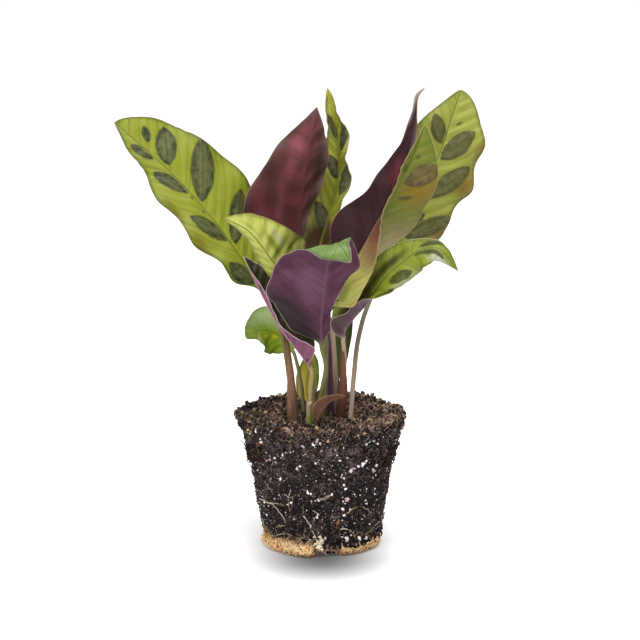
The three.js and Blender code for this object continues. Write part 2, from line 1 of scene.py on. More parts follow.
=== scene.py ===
# %% [markdown]
# # A young calathea lifted out of its pot
# The plant has lime-green leaves with dark ovals above, wine-red undersides, a dozen thin stalks
# and a plug of peat that still has the shape of the nursery pot, with a mat of root fibre below.
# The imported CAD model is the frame: each grown piece here replaces the CAD node of the same place,
# with the same centre lines and nearly the same widths, and adds what a solid of few faces can't
# carry.

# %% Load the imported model
import bpy
import numpy as np
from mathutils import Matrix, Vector


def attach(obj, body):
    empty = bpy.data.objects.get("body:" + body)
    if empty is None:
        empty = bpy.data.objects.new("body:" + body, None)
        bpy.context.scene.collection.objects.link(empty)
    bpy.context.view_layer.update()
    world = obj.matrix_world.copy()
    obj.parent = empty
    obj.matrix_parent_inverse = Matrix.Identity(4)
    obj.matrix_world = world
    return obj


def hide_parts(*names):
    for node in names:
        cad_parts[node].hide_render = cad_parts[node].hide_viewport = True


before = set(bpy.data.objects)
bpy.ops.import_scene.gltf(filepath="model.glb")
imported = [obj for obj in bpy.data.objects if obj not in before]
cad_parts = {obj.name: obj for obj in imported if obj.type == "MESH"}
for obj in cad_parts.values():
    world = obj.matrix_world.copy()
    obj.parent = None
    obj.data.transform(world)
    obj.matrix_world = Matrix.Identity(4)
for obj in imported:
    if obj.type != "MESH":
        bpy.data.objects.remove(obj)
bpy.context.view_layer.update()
MM = 0.001  # shapes are worked out in mm, and Blender takes metres

# %% [markdown]
# ## Camera and light
# The photograph was taken from slightly above, with a long lens, on white. A long lens keeps the
# stalks nearly parallel, so the camera stands two metres off. The light is two wide soft boxes, one
# overhead and one at the front left, with white all round, so shadows stay soft. The paper itself
# The paper itself glows, more so farther out, and a soft oval of painted shadow darkens it under
# the plug, as on the photograph.


# %% Camera and soft boxes
MIDDLE = (0, 0, 0.15)  # of the plant


def look_from(name, data, place, target):
    """An object at a place, turned so that its -Z axis looks at the target."""
    obj = bpy.data.objects.new(name, data)
    obj.location = place
    obj.rotation_euler = (Vector(target) - Vector(place)).to_track_quat("-Z", "Y").to_euler()
    bpy.context.scene.collection.objects.link(obj)
    return obj


def soft_box(name, place, size, watts):
    """A square area light that looks at the middle of the plant."""
    lamp = bpy.data.lights.new(name, "AREA")
    lamp.size, lamp.energy = size, watts
    look_from(name, lamp, place, MIDDLE)


lens = bpy.data.cameras.new("camera")
lens.lens, lens.sensor_width, lens.clip_end = 165.4, 36.0, 50
camera = look_from("camera", lens, (-0.001, -1.9526, 0.5889), (-0.001, 0, 0.156))
bpy.context.scene.camera = camera
soft_box("soft_box_over", (0.15, -0.55, 1.7), 1.1, 40)
soft_box("soft_box_front", (-1.2, -1.5, 1.1), 0.9, 22)

world = bpy.data.worlds.new("white_room")
world.use_nodes = True
world.node_tree.nodes["Background"].inputs["Color"].default_value = (1, 1, 1, 1)
world.node_tree.nodes["Background"].inputs["Strength"].default_value = 0.42
bpy.context.scene.world = world
bpy.context.scene.view_settings.view_transform = "Standard"
print("camera", [round(v, 3) for v in camera.location], "lens", lens.lens, "mm")

# %% Paper that glows, with a painted shadow under the plug
PAPER_GREY = 0.8
# the painted shadow is an oval on the paper where its glow and its grey are less
SHADOW_OVAL_ACROSS, SHADOW_OVAL_DEEP = 0.0576, 0.0661  # what the dark oval on the paper is measured in, in m
SHADOW_OVAL_FORWARD = 0.0422  # how far in front of the plant's axis its middle lies

paper = bpy.data.materials.new("white_paper")
paper.use_nodes = True
nodes, links = paper.node_tree.nodes, paper.node_tree.links
sheet_of_paper = nodes["Principled BSDF"]
sheet_of_paper.inputs["Roughness"].default_value = 0.9
sheet_of_paper.inputs["Emission Strength"].default_value = 1.0
place = nodes.new("ShaderNodeTexCoord").outputs["Object"]


def rising(scale, shift, lengths, tones):
    """From the first tone to the second, softly, while the length of scale * place + shift grows
    from the first length to the second."""
    stretched = nodes.new("ShaderNodeVectorMath")
    stretched.operation = "MULTIPLY_ADD"
    stretched.inputs[1].default_value = scale
    stretched.inputs[2].default_value = shift
    length = nodes.new("ShaderNodeVectorMath")
    length.operation = "LENGTH"
    ramp = nodes.new("ShaderNodeMapRange")
    ramp.interpolation_type = "SMOOTHSTEP"
    for key, value in zip(("From Min", "From Max", "To Min", "To Max"), (*lengths, *tones)):
        ramp.inputs[key].default_value = value
    links.new(place, stretched.inputs[0])
    links.new(stretched.outputs[0], length.inputs[0])
    links.new(length.outputs["Value"], ramp.inputs["Value"])
    return ramp.outputs["Result"]


def product(first, second):
    """A socket times a number or another socket."""
    made = nodes.new("ShaderNodeMath")
    made.operation = "MULTIPLY"
    links.new(first, made.inputs[0])
    if isinstance(second, float):
        made.inputs[1].default_value = second
    else:
        links.new(second, made.inputs[1])
    return made.outputs[0]


glow = rising((1, 1, 1), (0, 0, 0), (0.05, 0.5), (0.40, 0.65))
in_shadow_ovals, forward = (1 / SHADOW_OVAL_ACROSS, 1 / SHADOW_OVAL_DEEP, 0), (0, SHADOW_OVAL_FORWARD / SHADOW_OVAL_DEEP, 0)
# painted shadow: the glow and the grey of the paper both fall off in this oval under the plug
shade = rising(in_shadow_ovals, forward, (0.036, 1.47), (0.1, 1.0))
links.new(product(glow, shade), sheet_of_paper.inputs["Emission Color"])
links.new(product(shade, PAPER_GREY), sheet_of_paper.inputs["Base Color"])
bpy.ops.mesh.primitive_circle_add(vertices=64, radius=8, fill_type="NGON", location=(0, 0, -0.0002))
floor = bpy.context.object
floor.name = "paper_floor"
floor.data.materials.append(paper)
print("paper floor, darkest", round(SHADOW_OVAL_FORWARD / MM), "mm in front of the plant's axis")

# %% [markdown]
# ## Curves and noise
# A leaf is drawn by a few points: where its midrib passes, how wide each side is, how far it lifts.
# Between them everything is read off one kind of smooth curve. Peat, bark and paper-dry sheaths are
# rough at several sizes at once, which is what summed noise gives.


# %% Smooth curves through a few points
FINE = 401  # points that a curve is measured by


def smooth(values, share):
    """Values read off a smooth curve (Catmull-Rom) through evenly spaced control values; past the ends
    it goes on straight."""
    v = np.asarray(values, float)
    v = v[:, None] if v.ndim == 1 else v
    e = np.vstack([2 * v[0] - v[1], v, 2 * v[-1] - v[-2]])
    s = np.clip(np.asarray(share, float), 0, 1) * (len(v) - 1)
    k = np.clip(np.floor(s).astype(int), 0, len(v) - 2)
    f = (s - k)[:, None]
    a, b, c, d = e[k], e[k + 1], e[k + 2], e[k + 3]
    square, cube = 2 * a - 5 * b + 4 * c - d, 3 * b - a - 3 * c + d
    return 0.5 * (2 * b + (c - a) * f + square * f**2 + cube * f**3)


def unit(v):
    """Each vector divided by its own length."""
    return v / np.maximum(np.linalg.norm(v, axis=-1, keepdims=True), 1e-9)


def along(points, shares, aim=None):
    """Points at the given shares of a smooth curve's length, and that length. The curve may aim at
    a point that it doesn't reach."""
    every = [*points, aim] if aim is not None else points
    last = (len(points) - 1) / (len(every) - 1)
    t = np.linspace(0, last, FINE)
    run = np.concatenate([[0], np.cumsum(np.linalg.norm(np.diff(smooth(every, t), axis=0), axis=1))])
    return smooth(every, np.interp(np.asarray(shares) * run[-1], run, t)), run[-1]


def ease(t):
    """0 below 0, 1 above 1, and 3t^2 - 2t^3 between."""
    t = np.clip(t, 0, 1)
    return t * t * (3 - 2 * t)


corner = along([[0, 0], [10, 0], [10, 10]], [0.5])
print("a curve round a corner:", round(corner[1], 1), "long, half way at", np.round(corner[0][0], 1))


# %% Noise on whole arrays
UNEVEN = np.array([127.1, 311.7, 74.7])  # any uneven numbers: they and a sine turn a corner into a value
SCATTER = 43758.5453


def noise(p, seed=0.0):
    """Smooth noise from -1 to 1: each corner of a unit lattice has a repeatable value, and the eight
    round a point are blended by 3t^2 - 2t^3."""
    p = np.asarray(p, float) + seed * 13.7
    low = np.floor(p)
    near = ease(p - low)
    total = np.zeros(p.shape[:-1])
    for corner in np.ndindex(2, 2, 2):
        hashed = np.sin((low + corner) @ UNEVEN) * SCATTER
        value = 2 * (hashed - np.floor(hashed)) - 1
        total += value * np.prod(np.where(corner, near, 1 - near), axis=-1)
    return total


def clods(p, size, seed=0.0):
    """Rounded lumps with creases between them: the absolute value of noise at this size, and half as
    much at half of it."""
    return np.abs(noise(p / size, seed)) + 0.5 * np.abs(noise(2 * p / size, seed + 1)) - 0.35


trial = noise(np.random.default_rng(1).random((9999, 3)) * 50)
print("noise spans", np.round([trial.min(), trial.max()], 2))

# %% [markdown]
# ## From grids to meshes
# Every piece is a grid of points: rows along it, columns round it. The helpers below turn a grid
# into triangles with the faces outwards, close its two ends with a pole, and keep extra numbers on
# the points, such as the place on the leaf, so that a finish can follow the grown surface.


# %% Grids, poles and objects
def weave(rows, columns, closed=True):
    """Triangles over a grid of rows and columns of points, two to a cell; a closed grid joins its last
    column to its first."""
    i = np.arange(rows - 1)[:, None]
    j = np.arange(columns if closed else columns - 1)[None, :]
    a, b = i * columns + j, i * columns + (j + 1) % columns
    c, d = a + columns, b + columns
    return np.stack([np.stack([a, b, d], -1), np.stack([a, d, c], -1)], 2).reshape(-1, 3)


def capped(rings, values):
    """A grid of closed rings with a pole over each end: its points, its triangles and the values on
    them."""
    rows, columns = rings.shape[:2]
    poles = rings[[0, -1]].mean(1)
    low, top = rows * columns, (rows - 1) * columns
    j = np.arange(columns)
    n = (j + 1) % columns
    fans = [
        np.stack([np.full(columns, low), n, j], -1),
        np.stack([np.full(columns, low + 1), top + j, top + n], -1),
    ]
    points = np.concatenate([rings.reshape(-1, 3), poles])
    kept = {k: np.concatenate([v.reshape(-1, 3), v[[0, -1]].mean(1)]) for k, v in values.items()}
    return points, np.concatenate([weave(rows, columns), *fans]), kept


def put(name, shape, finish, nodes, body="root"):
    """Makes a mesh of (points in mm, triangles, values), gives it its finish, hangs it on its body and
    hides the CAD nodes that it stands for."""
    points, triangles, values = shape
    mesh = bpy.data.meshes.new(name)
    mesh.vertices.add(len(points))
    mesh.vertices.foreach_set("co", (points * MM).astype(np.float32).ravel())
    mesh.loops.add(triangles.size)
    mesh.loops.foreach_set("vertex_index", triangles.astype(np.int32).ravel())
    mesh.polygons.add(len(triangles))
    mesh.polygons.foreach_set("loop_start", np.arange(0, triangles.size, 3, dtype=np.int32))
    mesh.update(calc_edges=True)
    mesh.shade_smooth()
    for key, value in values.items():
        kept = mesh.attributes.new(key, "FLOAT_VECTOR", "POINT")
        kept.data.foreach_set("vector", value.astype(np.float32).ravel())
    mesh.materials.append(finish)
    obj = bpy.data.objects.new(name, mesh)
    bpy.context.scene.collection.objects.link(obj)
    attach(obj, body)
    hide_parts(*nodes)
    size = np.ptp(points, axis=0)
    print(f"{name}: {len(triangles)} triangles, {size[0]:.0f} x {size[1]:.0f} x {size[2]:.0f} mm")


print("a grid of 3 rows and 4 columns:", len(weave(3, 4)), "triangles closed,", end=" ")
print(len(weave(3, 4, closed=False)), "open")

# %% [markdown]
# ## Finishes written as sums
# A finish is a recipe: a share of one colour, a share of another, a line where a vein runs. The
# class below lets such a recipe be written as Python sums, and each sum adds its node.


# %% A socket that takes part in sums
class Shade:
    """A socket of a finish's nodes. + - * / add Math nodes for values and Vector Math for colours;
    node() adds any other."""

    def __init__(self, tree, socket=None):
        self.tree, self.socket = tree, socket

    def node(self, kind, settings=None, sockets=None, out=0):
        made = self.tree.nodes.new(kind)
        for key, value in (settings or {}).items():
            if key == "stops":
                for k, (place, colour) in enumerate(value):
                    stop = made.color_ramp.elements[k] if k < 2 else made.color_ramp.elements.new(place)
                    stop.position, stop.color = place, colour
            else:
                setattr(made, key, value)
        for key, value in (sockets or {}).items():
            if isinstance(value, Shade):
                self.tree.links.new(value.socket, made.inputs[key])
            else:
                made.inputs[key].default_value = value
        return Shade(self.tree, made.outputs[out])

    def joined(self, operation, pair):
        if not any(isinstance(p, tuple) or isinstance(p, Shade) and p.socket.type != "VALUE" for p in pair):
            return self.node("ShaderNodeMath", {"operation": operation}, dict(enumerate(pair)))
        wide = [p if isinstance(p, (Shade, tuple)) else (p, p, p) for p in pair]
        return self.node("ShaderNodeVectorMath", {"operation": operation}, dict(enumerate(wide)))

    def __add__(self, other):
        return self.joined("ADD", (self, other))

    def __sub__(self, other):
        return self.joined("SUBTRACT", (self, other))

    def __rsub__(self, other):
        return self.joined("SUBTRACT", (other, self))

    def __mul__(self, other):
        return self.joined("MULTIPLY", (self, other))

    def __truediv__(self, other):
        return self.joined("DIVIDE", (self, other))

    __radd__, __rmul__ = __add__, __mul__


# %% Words for the recipes
LIGHT_SHARE = 0.5  # how much of a measured colour is the surface's own


def measured(colour, share=LIGHT_SHARE, sheen=0.0):
    """A colour measured on the photograph (sRGB, 0 to 255) as the linear colour of the surface: a
    share of it, as the light adds the rest, less the grey sheen that the white room lays over it."""
    c = np.asarray(colour, float) / 255  # the next line is the curve of the sRGB standard
    c = np.where(c <= 0.04045, c / 12.92, ((c + 0.055) / 1.055) ** 2.4) * share - sheen
    return (*[float(v) for v in np.clip(c, 0.002, 1)], 1.0)


def between(value, low, high):
    """0 at low, 1 at high, soft between; low may be the larger."""
    sockets = {"Value": value, "From Min": low, "From Max": high}
    return value.node("ShaderNodeMapRange", {"interpolation_type": "SMOOTHSTEP"}, sockets)


def mixed(share, first, second):
    """The first colour where the share is 0 and the second where it is 1."""
    return share.node("ShaderNodeMix", {"data_type": "RGBA"}, {0: share, 6: first, 7: second}, 2)


def worked(value, operation, other=0.0):
    """A Math node of another kind, such as ABSOLUTE or FRACT."""
    return value.node("ShaderNodeMath", {"operation": operation}, {0: value, 1: other})


def together(x, y, z):
    """Three values as one vector."""
    first = next(v for v in (x, y, z) if isinstance(v, Shade))
    return first.node("ShaderNodeCombineXYZ", sockets={"X": x, "Y": y, "Z": z})


def apart(vector):
    """A vector's three values."""
    return [vector.node("ShaderNodeSeparateXYZ", sockets={0: vector}, out=k) for k in range(3)]


def kept(start, name):
    """The three values that the points of a mesh keep under this name."""
    return apart(start.node("ShaderNodeAttribute", {"attribute_name": name}, out="Vector"))


def spot_in_mm(start):
    """The place on the piece, in mm."""
    return start.node("ShaderNodeTexCoord", out="Object") * (1 / MM)


def speckle(where, scale=1.0, detail=2.0, rough=0.55):
    """Noise from 0 to 1 at a place, about 0.5 on average."""
    sockets = {"Vector": where, "Scale": scale, "Detail": detail, "Roughness": rough}
    return where.node("ShaderNodeTexNoise", sockets=sockets)


def new_finish(name):
    """An empty finish and a Shade to start its recipe from."""
    material = bpy.data.materials.new(name)
    material.use_nodes = True
    material.node_tree.nodes.clear()
    return material, Shade(material.node_tree)


def close_finish(start, colour, roughness, height, constants=None):
    """Ends a recipe in a Principled shader. The height is in mm and becomes a bump; constants go on the
    shader's own sockets."""
    bump = start.node("ShaderNodeBump", sockets={"Strength": 1.0, "Distance": MM, "Height": height})
    sockets = {"Base Color": colour, "Roughness": roughness, "Normal": bump, **(constants or {})}
    shader = start.node("ShaderNodeBsdfPrincipled", sockets={"Specular IOR Level": 0.15, **sockets})
    end = start.tree.nodes.new("ShaderNodeOutputMaterial")
    start.tree.links.new(shader.socket, end.inputs["Surface"])


print("white is taken as", np.round(measured((255, 255, 255))[:3], 2))

# %% [markdown]
# ## The leaves
# A calathea leaf is one grown sheet: a round stalk that flattens into a blade, a midrib that
# is a groove above and a ridge below, side veins that sweep forward and quilt the sheet a little,
# and a waved margin. Each side bends by itself, so the same rule gives a flat leaf, a cupped one
# and one whose margin rolls over. The table holds what was measured on the photograph.

# %% The table of leaves
# radius: of the stalk, at its foot and at the blade. stalk and midrib: points, all in mm.
# facing: where the upper side looks, from base to tip. outline: how blunt the base and the tip are.
# width in mm, rise and curl in degrees, all from base to tip, and wave (depth in mm, waves, phase):
# the left side, then the right side, seen on the upper side with the tip up.
LEAVES = [
    {
        "name": "leaf_left_large", "radius": [2.0, 1.5],
        "stalk": [[-19, -26, 93], [-21, -27, 117], [-25, -22, 144], [-31, -14, 165]],
        "midrib": [[-39, -8, 176], [-54, -12, 201], [-73, -11.5, 228], [-100, -6, 257.5], [-139, 4, 291]],
        "facing": [[0.1, -0.9, 0.3], [0, -1, 0.2], [0.05, -1, 0.25]],
        "width": [[9, 20, 18, 24, 19, 23, 16, 15, 8], [14, 25, 32, 36, 37, 35, 35, 36, 34]],
        "outline": [0.5, 0.6],
        "rise": [[35, 35, 25], [-20, -18, 0, 10]],
        "curl": [[-10, -20, -20], [-10, -20, -20]],
        "wave": [[2.5, 5.2, 0.1], [2, 4.2, 0.4]],
    },
    {
        "name": "leaf_centre_maroon", "radius": [2.0, 1.5],
        "stalk": [[-6, -20, 93], [-7, -14, 126], [-12, -6, 143], [-15, 8, 175]],
        "midrib": [[-16, 16, 201], [-15, 12, 223], [-12, 9, 251], [-8, 9, 275], [-3, 14, 300]],
        "facing": [[0.1, 1, 0], [0.1, 1, 0.1], [0.1, 1, 0.1]],
        "width": [[5, 6, 7, 10, 14, 17, 19, 18, 12], [8, 22, 42, 43, 34, 30, 27, 21, 15]],
        "outline": [0.5, 0.8],
        "rise": [[20, 15, 15], [-34, -34, -32, -24, -10, 0, 5]],
        "curl": [[0, 0, 0], [0, 0, 0]],
        "wave": [[2, 4, 0], [2, 4, 0.3]],
    },
    {
        "name": "leaf_centre_folded", "radius": [2.0, 1.5],
        "stalk": [[5, 9, 93], [6, 10, 121], [4, 14, 147], [0, 24, 175]],
        "midrib": [
            [-6, 32, 178], [-2, 35, 197], [4, 34, 219], [11, 32, 244], [11, 31, 268], [8, 30, 290],
            [4, 34, 310],
        ],
        "facing": [[0.1, -1, 0.1], [0.1, -1, 0.1], [0.05, -1, 0.15]],
        "width": [[22, 25, 22, 17, 18.5, 18, 15, 13, 11], [22, 20, 12, 9, 11, 11, 14.5, 14, 12]],
        "outline": [0.45, 0.7],
        "rise": [[20, 40, 50, 50], [25, 50, 55, 50]],
        "curl": [[-20, -20, -20], [-20, -10, -10]],
        "wave": [[2.5, 4, 0], [3, 4.5, 0.3]],
    },
    {
        "name": "leaf_right_maroon", "radius": [3.0, 1.7],
        "stalk": [[6.5, -4, 93], [6.8, -10, 124], [7, -10, 144], [10.5, -7, 159]],
        "midrib": [
            [16, -4, 169], [29, 2, 201], [43, 5, 232], [53, 7, 262], [59.5, 7, 280], [61.5, 7, 296],
            [63.5, 5, 308], [69, 3, 314.5],
        ],
        "facing": [[0.5, 0.85, 0.1], [0.45, 0.85, 0.1], [0.5, 0.85, 0.1], [0.6, 0.8, 0.1]],
        "width": [[3, 5, 8, 9, 8, 7, 7.2, 6.8, 9], [13, 25, 34, 31, 19, 15.5, 8, 6, 8]],
        "outline": [0.45, 0.8],
        "rise": [[40, 40, 20], [15, 15, 30]],
        "curl": [[0, 0, 0], [0, 0, 0]],
        "wave": [[1, 4, 0], [2, 4, 0.6]],
    },
    {
        "name": "leaf_right_cupped", "radius": [1.7, 1.5],
        "stalk": [[11, -9, 93], [9.5, -17, 119], [8.5, -24, 140], [7, -30, 156]],
        "midrib": [
            [4.5, -34, 168.5], [15, -36, 192], [26, -34, 209], [35, -30, 225], [44, -27, 241],
            [53, -24, 256], [61, -21, 273], [69, -18, 293],
        ],
        "facing": [[0.05, -1, 0.1], [0.05, -1, 0.1], [0.05, -1, 0.15]],
        "width": [[26, 25, 22, 18, 14, 12, 12, 10, 8], [13, 14.5, 19.5, 25, 29, 34, 36, 36, 26]],
        "outline": [0.36, 0.7],
        "rise": [[128, 128, 122, 105, 85, 65, 55, 50], [-25, -38, -33, -12, 5]],
        "curl": [[0, 0, 0], [0, -10, -10]],
        "wave": [[0.8, 3, 0.2], [2, 4, 0.1]],
    },
    {
        "name": "leaf_right_large", "radius": [1.7, 1.5],
        "stalk": [[19.5, -28, 93], [21.5, -25, 119], [25, -16, 147], [33, 0, 170]],
        "midrib": [
            [50, 20, 199], [60, 20, 220], [71, 20, 245], [81, 22, 269], [88, 25, 290], [95, 32, 309],
        ],
        "facing": [[0.1, -1, 0.2], [0.1, -1, 0.2], [0, -1, 0.2]],
        "width": [[11, 19, 19, 20, 22, 24, 24, 17, 9], [16, 32, 28, 26, 30, 27, 31, 28, 24]],
        "outline": [0.5, 0.5],
        "rise": [[15, 15, 20], [10, 10, 20]],
        "curl": [[-15, -20, -20], [-15, -20, -20]],
        "wave": [[2, 4, 0.3], [2.5, 4.2, 0.15]],
    },
    {
        "name": "leaf_front_light", "radius": [1.6, 1.3],
        "stalk": [[1, -12, 93], [3, -14, 124], [2, -20, 154], [-6, -32, 178]],
        "midrib": [
            [-14, -40, 189], [-23, -44, 196], [-32, -48, 206], [-40, -51, 218], [-49, -51, 228],
            [-64, -46, 235],
        ],
        "facing": [[0.1, -0.8, 0.6], [0.05, -0.8, 0.6], [-0.1, -0.8, 0.5]],
        "width": [[6, 10, 9, 9, 8, 7, 6, 6, 5], [30, 28, 27, 25, 23, 20, 17, 15, 12]],
        "outline": [0.5, 0.7],
        "rise": [[-30, -40, -20], [10, 15, 20]],
        "curl": [[-10, -20, -10], [10, 10, 0]],
        "wave": [[1, 4, 0.2], [1.5, 3.5, 0.4]],
    },
    {
        "name": "leaf_front_purple", "radius": [1.8, 1.5],
        "stalk": [[-3.5, -25, 93], [0, -28, 112], [3, -31, 131]],
        "midrib": [
            [0, -34, 146], [0, -44, 167], [2, -54, 188], [4, -61, 206], [7, -66, 218], [9, -70, 223],
            [12, -75, 222], [15, -78, 219], [19, -80, 212],
        ],
        "facing": [
            [-0.1, 1, 0.3], [-0.1, 1, 0.3], [-0.1, 1, 0.4], [-0.1, 0.95, 0.5], [-0.1, 0, 1],
            [-0.2, -1, 0.3],
        ],
        "width": [[10, 9, 8, 9, 16, 24, 22, 12, 8], [34, 31, 36, 39, 36, 36, 36, 30, 16]],
        "outline": [0.5, 0.6],
        "rise": [[10, 10, 10, 0], [20, 15, 10, 0, 0]],
        "curl": [[0, 0, 0], [0, 0, 0]],
        "wave": [[1.5, 4, 0.2], [2, 3.5, 0.4]],
    },
    {
        "name": "leaf_left_shaded", "radius": [1.7, 1.4],
        "stalk": [[-7, -28, 93], [-7.5, -30, 112]],
        "midrib": [
            [-7, -31, 129.5], [-16, -31, 141.5], [-27, -30, 156], [-36, -29, 172], [-44, -28, 188],
            [-52, -25, 205],
        ],
        "facing": [[0.6, -0.7, 0.3], [0.6, -0.7, 0.3], [0.6, -0.6, 0.3]],
        "width": [[26, 16, 7, 2.5, 3, 4, 4, 3.5, 3], [21, 21, 21, 21, 19, 18, 18, 17, 10]],
        "outline": [0.5, 0.6],
        "rise": [[125, 118, 100, 95, 95, 95], [10, 10, 10, 10]],
        "curl": [[0, 0, 0], [0, 0, 0]],
        "wave": [[0.5, 3, 0.2], [1.5, 3.5, 0.4]],
    },
    {
        "name": "leaf_right_drooping", "radius": [1.6, 1.4],
        "stalk": [[13, -21, 93], [15, -23, 117], [15.5, -27, 137]],
        "midrib": [
            [14.5, -33, 150.5], [16.5, -36, 159], [22, -38, 166.5], [31, -40, 177.5], [43, -42, 195],
            [55, -45, 206], [65, -48, 214], [78, -51, 215], [90, -54, 201],
        ],
        "facing": [[-0.1, -0.7, 0.7], [-0.1, -0.75, 0.7], [0.1, -0.75, 0.7], [0.35, -0.8, 0.7]],
        "width": [[42, 25, 13, 14, 16, 18, 12, 14, 14], [48, 11, 8.5, 13, 16, 17, 22.5, 23, 14]],
        "outline": [0.32, 0.8],
        "rise": [[-15, 5, 15, 0], [112, 110, 90, 25, 5, 0, 0, 0]],
        "curl": [[-10, -20, -10], [20, -10, -10]],
        "wave": [[1, 4, 0.2], [1.2, 4, 0.4]],
    },
    {
        "name": "leaf_low_green", "radius": [1.4, 1.2],
        "stalk": [[-12, -6, 93], [-14, -5, 113]],
        "midrib": [[-19, -2, 134], [-26, 0, 143], [-36, -2, 149], [-45, -5, 149], [-51, -8, 145]],
        "facing": [[-0.1, -0.9, 0.4], [-0.2, -0.9, 0.4], [-0.3, -0.8, 0.5]],
        "width": [[11, 15, 15, 15, 15, 14, 12, 9, 6], [8, 10, 11, 13, 15, 17, 16, 11, 7]],
        "outline": [0.5, 0.5],
        "rise": [[10, 10, 0], [10, 10, 0]],
        "curl": [[-10, -20, -10], [-20, -20, -10]],
        "wave": [[0.8, 3, 0.2], [1, 3, 0.4]],
    },
    {
        "name": "leaf_low_yellow", "radius": [1.3, 1.1],
        "stalk": [[-9, 0, 93]],
        "midrib": [[-9, 3, 97], [-10, 7, 106], [-9, 9, 117], [-6, 10, 131]],
        "facing": [[0, -1, 0.2], [0.1, -1, 0.2]],
        "width": [[8, 8], [8, 8]],
        "outline": [0.5, 0.6],
        "rise": [[10, 10, 0], [10, 10, 0]],
        "curl": [[0, 0, 0], [0, 0, 0]],
        "wave": [[0.6, 3, 0.2], [0.6, 3, 0.4]],
    },
    {
        "name": "leaf_low_dark", "radius": [1.4, 1.2],
        "stalk": [[13, 4, 93]],
        "midrib": [[11, 7, 112], [13, 10, 130], [16, 13, 146], [20, 16, 163]],
        "facing": [[0.3, -1, 0.2], [0.3, -1, 0.2]],
        "width": [[10, 16], [6, 5.5]],
        "outline": [0.6, 0.6],
        "rise": [[10, 10, 0], [10, 10, 0]],
        "curl": [[0, 0, 0], [0, 0, 0]],
        "wave": [[0.6, 3, 0.2], [0.6, 3, 0.4]],
    },
    {
        "name": "bract_dry", "radius": [1.3, 1.2],
        "stalk": [[-3.5, -35, 93]],
        "midrib": [
            [-3, -35.5, 95], [-0.5, -36.5, 101], [4, -37.5, 107], [10, -37.5, 110.5], [16, -36.5, 112],
        ],
        "facing": [[-0.6, 0.3, 0.7], [-0.4, 0.3, 0.9], [-0.2, 0.4, 0.9]],
        "width": [[4, 6, 5, 4], [6, 8, 7, 4]],
        "outline": [0.5, 0.6],
        "rise": [[30, 25, 15], [35, 30, 15]],
        "curl": [[10, 10, 5], [15, 15, 5]],
        "wave": [[0, 2, 0.2], [0, 2, 0.4]],
    },
]
print(len(LEAVES) - 1, "leaves and one dry bract")

# %% The line a leaf grows along, and its dark patches
SEAT_BOTTOM, PEAT_TOP = 79.0, 93.0  # stalks go down to the first height inside the peat, in mm
LARGE, SMALL = ((30, 168), 30), ((16, 80), 18)  # steps up the stalk and up the midrib, steps across a side


def centre_line(leaf, steps):
    """The line a leaf grows along: up out of the peat, along the stalk, then along the midrib, whose
    shares are u = t/2 + (1 - cos(pi t))/4, closer together at its ends. Gives the points, their share
    of the midrib, how many belong to the stalk, and the midrib's length."""
    low, high = steps
    foot = leaf["stalk"][0]
    stalk, _ = along([*leaf["stalk"], leaf["midrib"][0]], np.linspace(0, 1, low), leaf["midrib"][1])
    t = np.linspace(0, 1, high)
    u = 0.5 * t + 0.25 * (1 - np.cos(np.pi * t))
    blade, length = along(leaf["midrib"], u)
    line = np.vstack([[foot[0], foot[1], SEAT_BOTTOM], stalk[:-1], blade])
    return line, np.concatenate([np.zeros(low), u]), low, length


def dark_patches(x, y, patches):
    """How far inside a dark patch each point (x across, y along, mm) lies, and how far off that
    patch's long line. A patch's half-width is h (1 - p^2)^0.75 at a share p of its half-length."""
    inside, off = np.full(x.shape, -9.0), np.full(x.shape, 9.0)
    for x0, y0, x1, y1, half in patches:
        dx, dy = (x1 - x0) / 2, (y1 - y0) / 2
        reach = np.hypot(dx, dy)
        p = ((x - x0 - dx) * dx + (y - y0 - dy) * dy) / reach
        r = ((x - x0 - dx) * dy - (y - y0 - dy) * dx) / reach
        rim = half * (1 - np.clip(np.abs(p) / reach, 0, 1) ** 2) ** 0.75
        depth = rim - np.abs(r) - np.maximum(np.abs(p) - reach, 0)
        off = np.where(depth > inside, r, off)
        inside = np.maximum(inside, depth)
    return inside, off


def usual_patches(leaf, length):
    """For a leaf whose upper side the photograph doesn't show: long and short patches in turn up both
    sides, each from beside the midrib, forward along the side veins."""
    found = []
    for sign, widths in ((1, leaf["width"][0]), (-1, leaf["width"][1])):
        for k, share in enumerate(np.arange(0.14 if sign > 0 else 0.2, 0.86, 0.13)):
            w = float(smooth(widths, [share + 0.06])[0, 0]) * (1 if k % 2 else 0.6)
            if w > 4:
                start = (sign * 0.1 * w, share * length)
                end = (sign * 0.8 * w, share * length + 0.75 * w)
                found.append((*start, *end, 0.17 * w + 0.8))
    return found


trial = centre_line(LEAVES[0], LARGE[0])
print("a large leaf:", len(trial[0]), "points, midrib", round(trial[3]), "mm long,", end=" ")
print(len(usual_patches(LEAVES[0], trial[3])), "usual patches")

# %% The sheet of a leaf
THICK = 0.44  # of a blade, in mm
GROOVE, RIDGE = 0.3, 0.75  # how deep the midrib is above, how far it stands out below, in mm
PLAIN_PLEAT = (0.25, 6.5)  # depth and length of the quilting, in mm


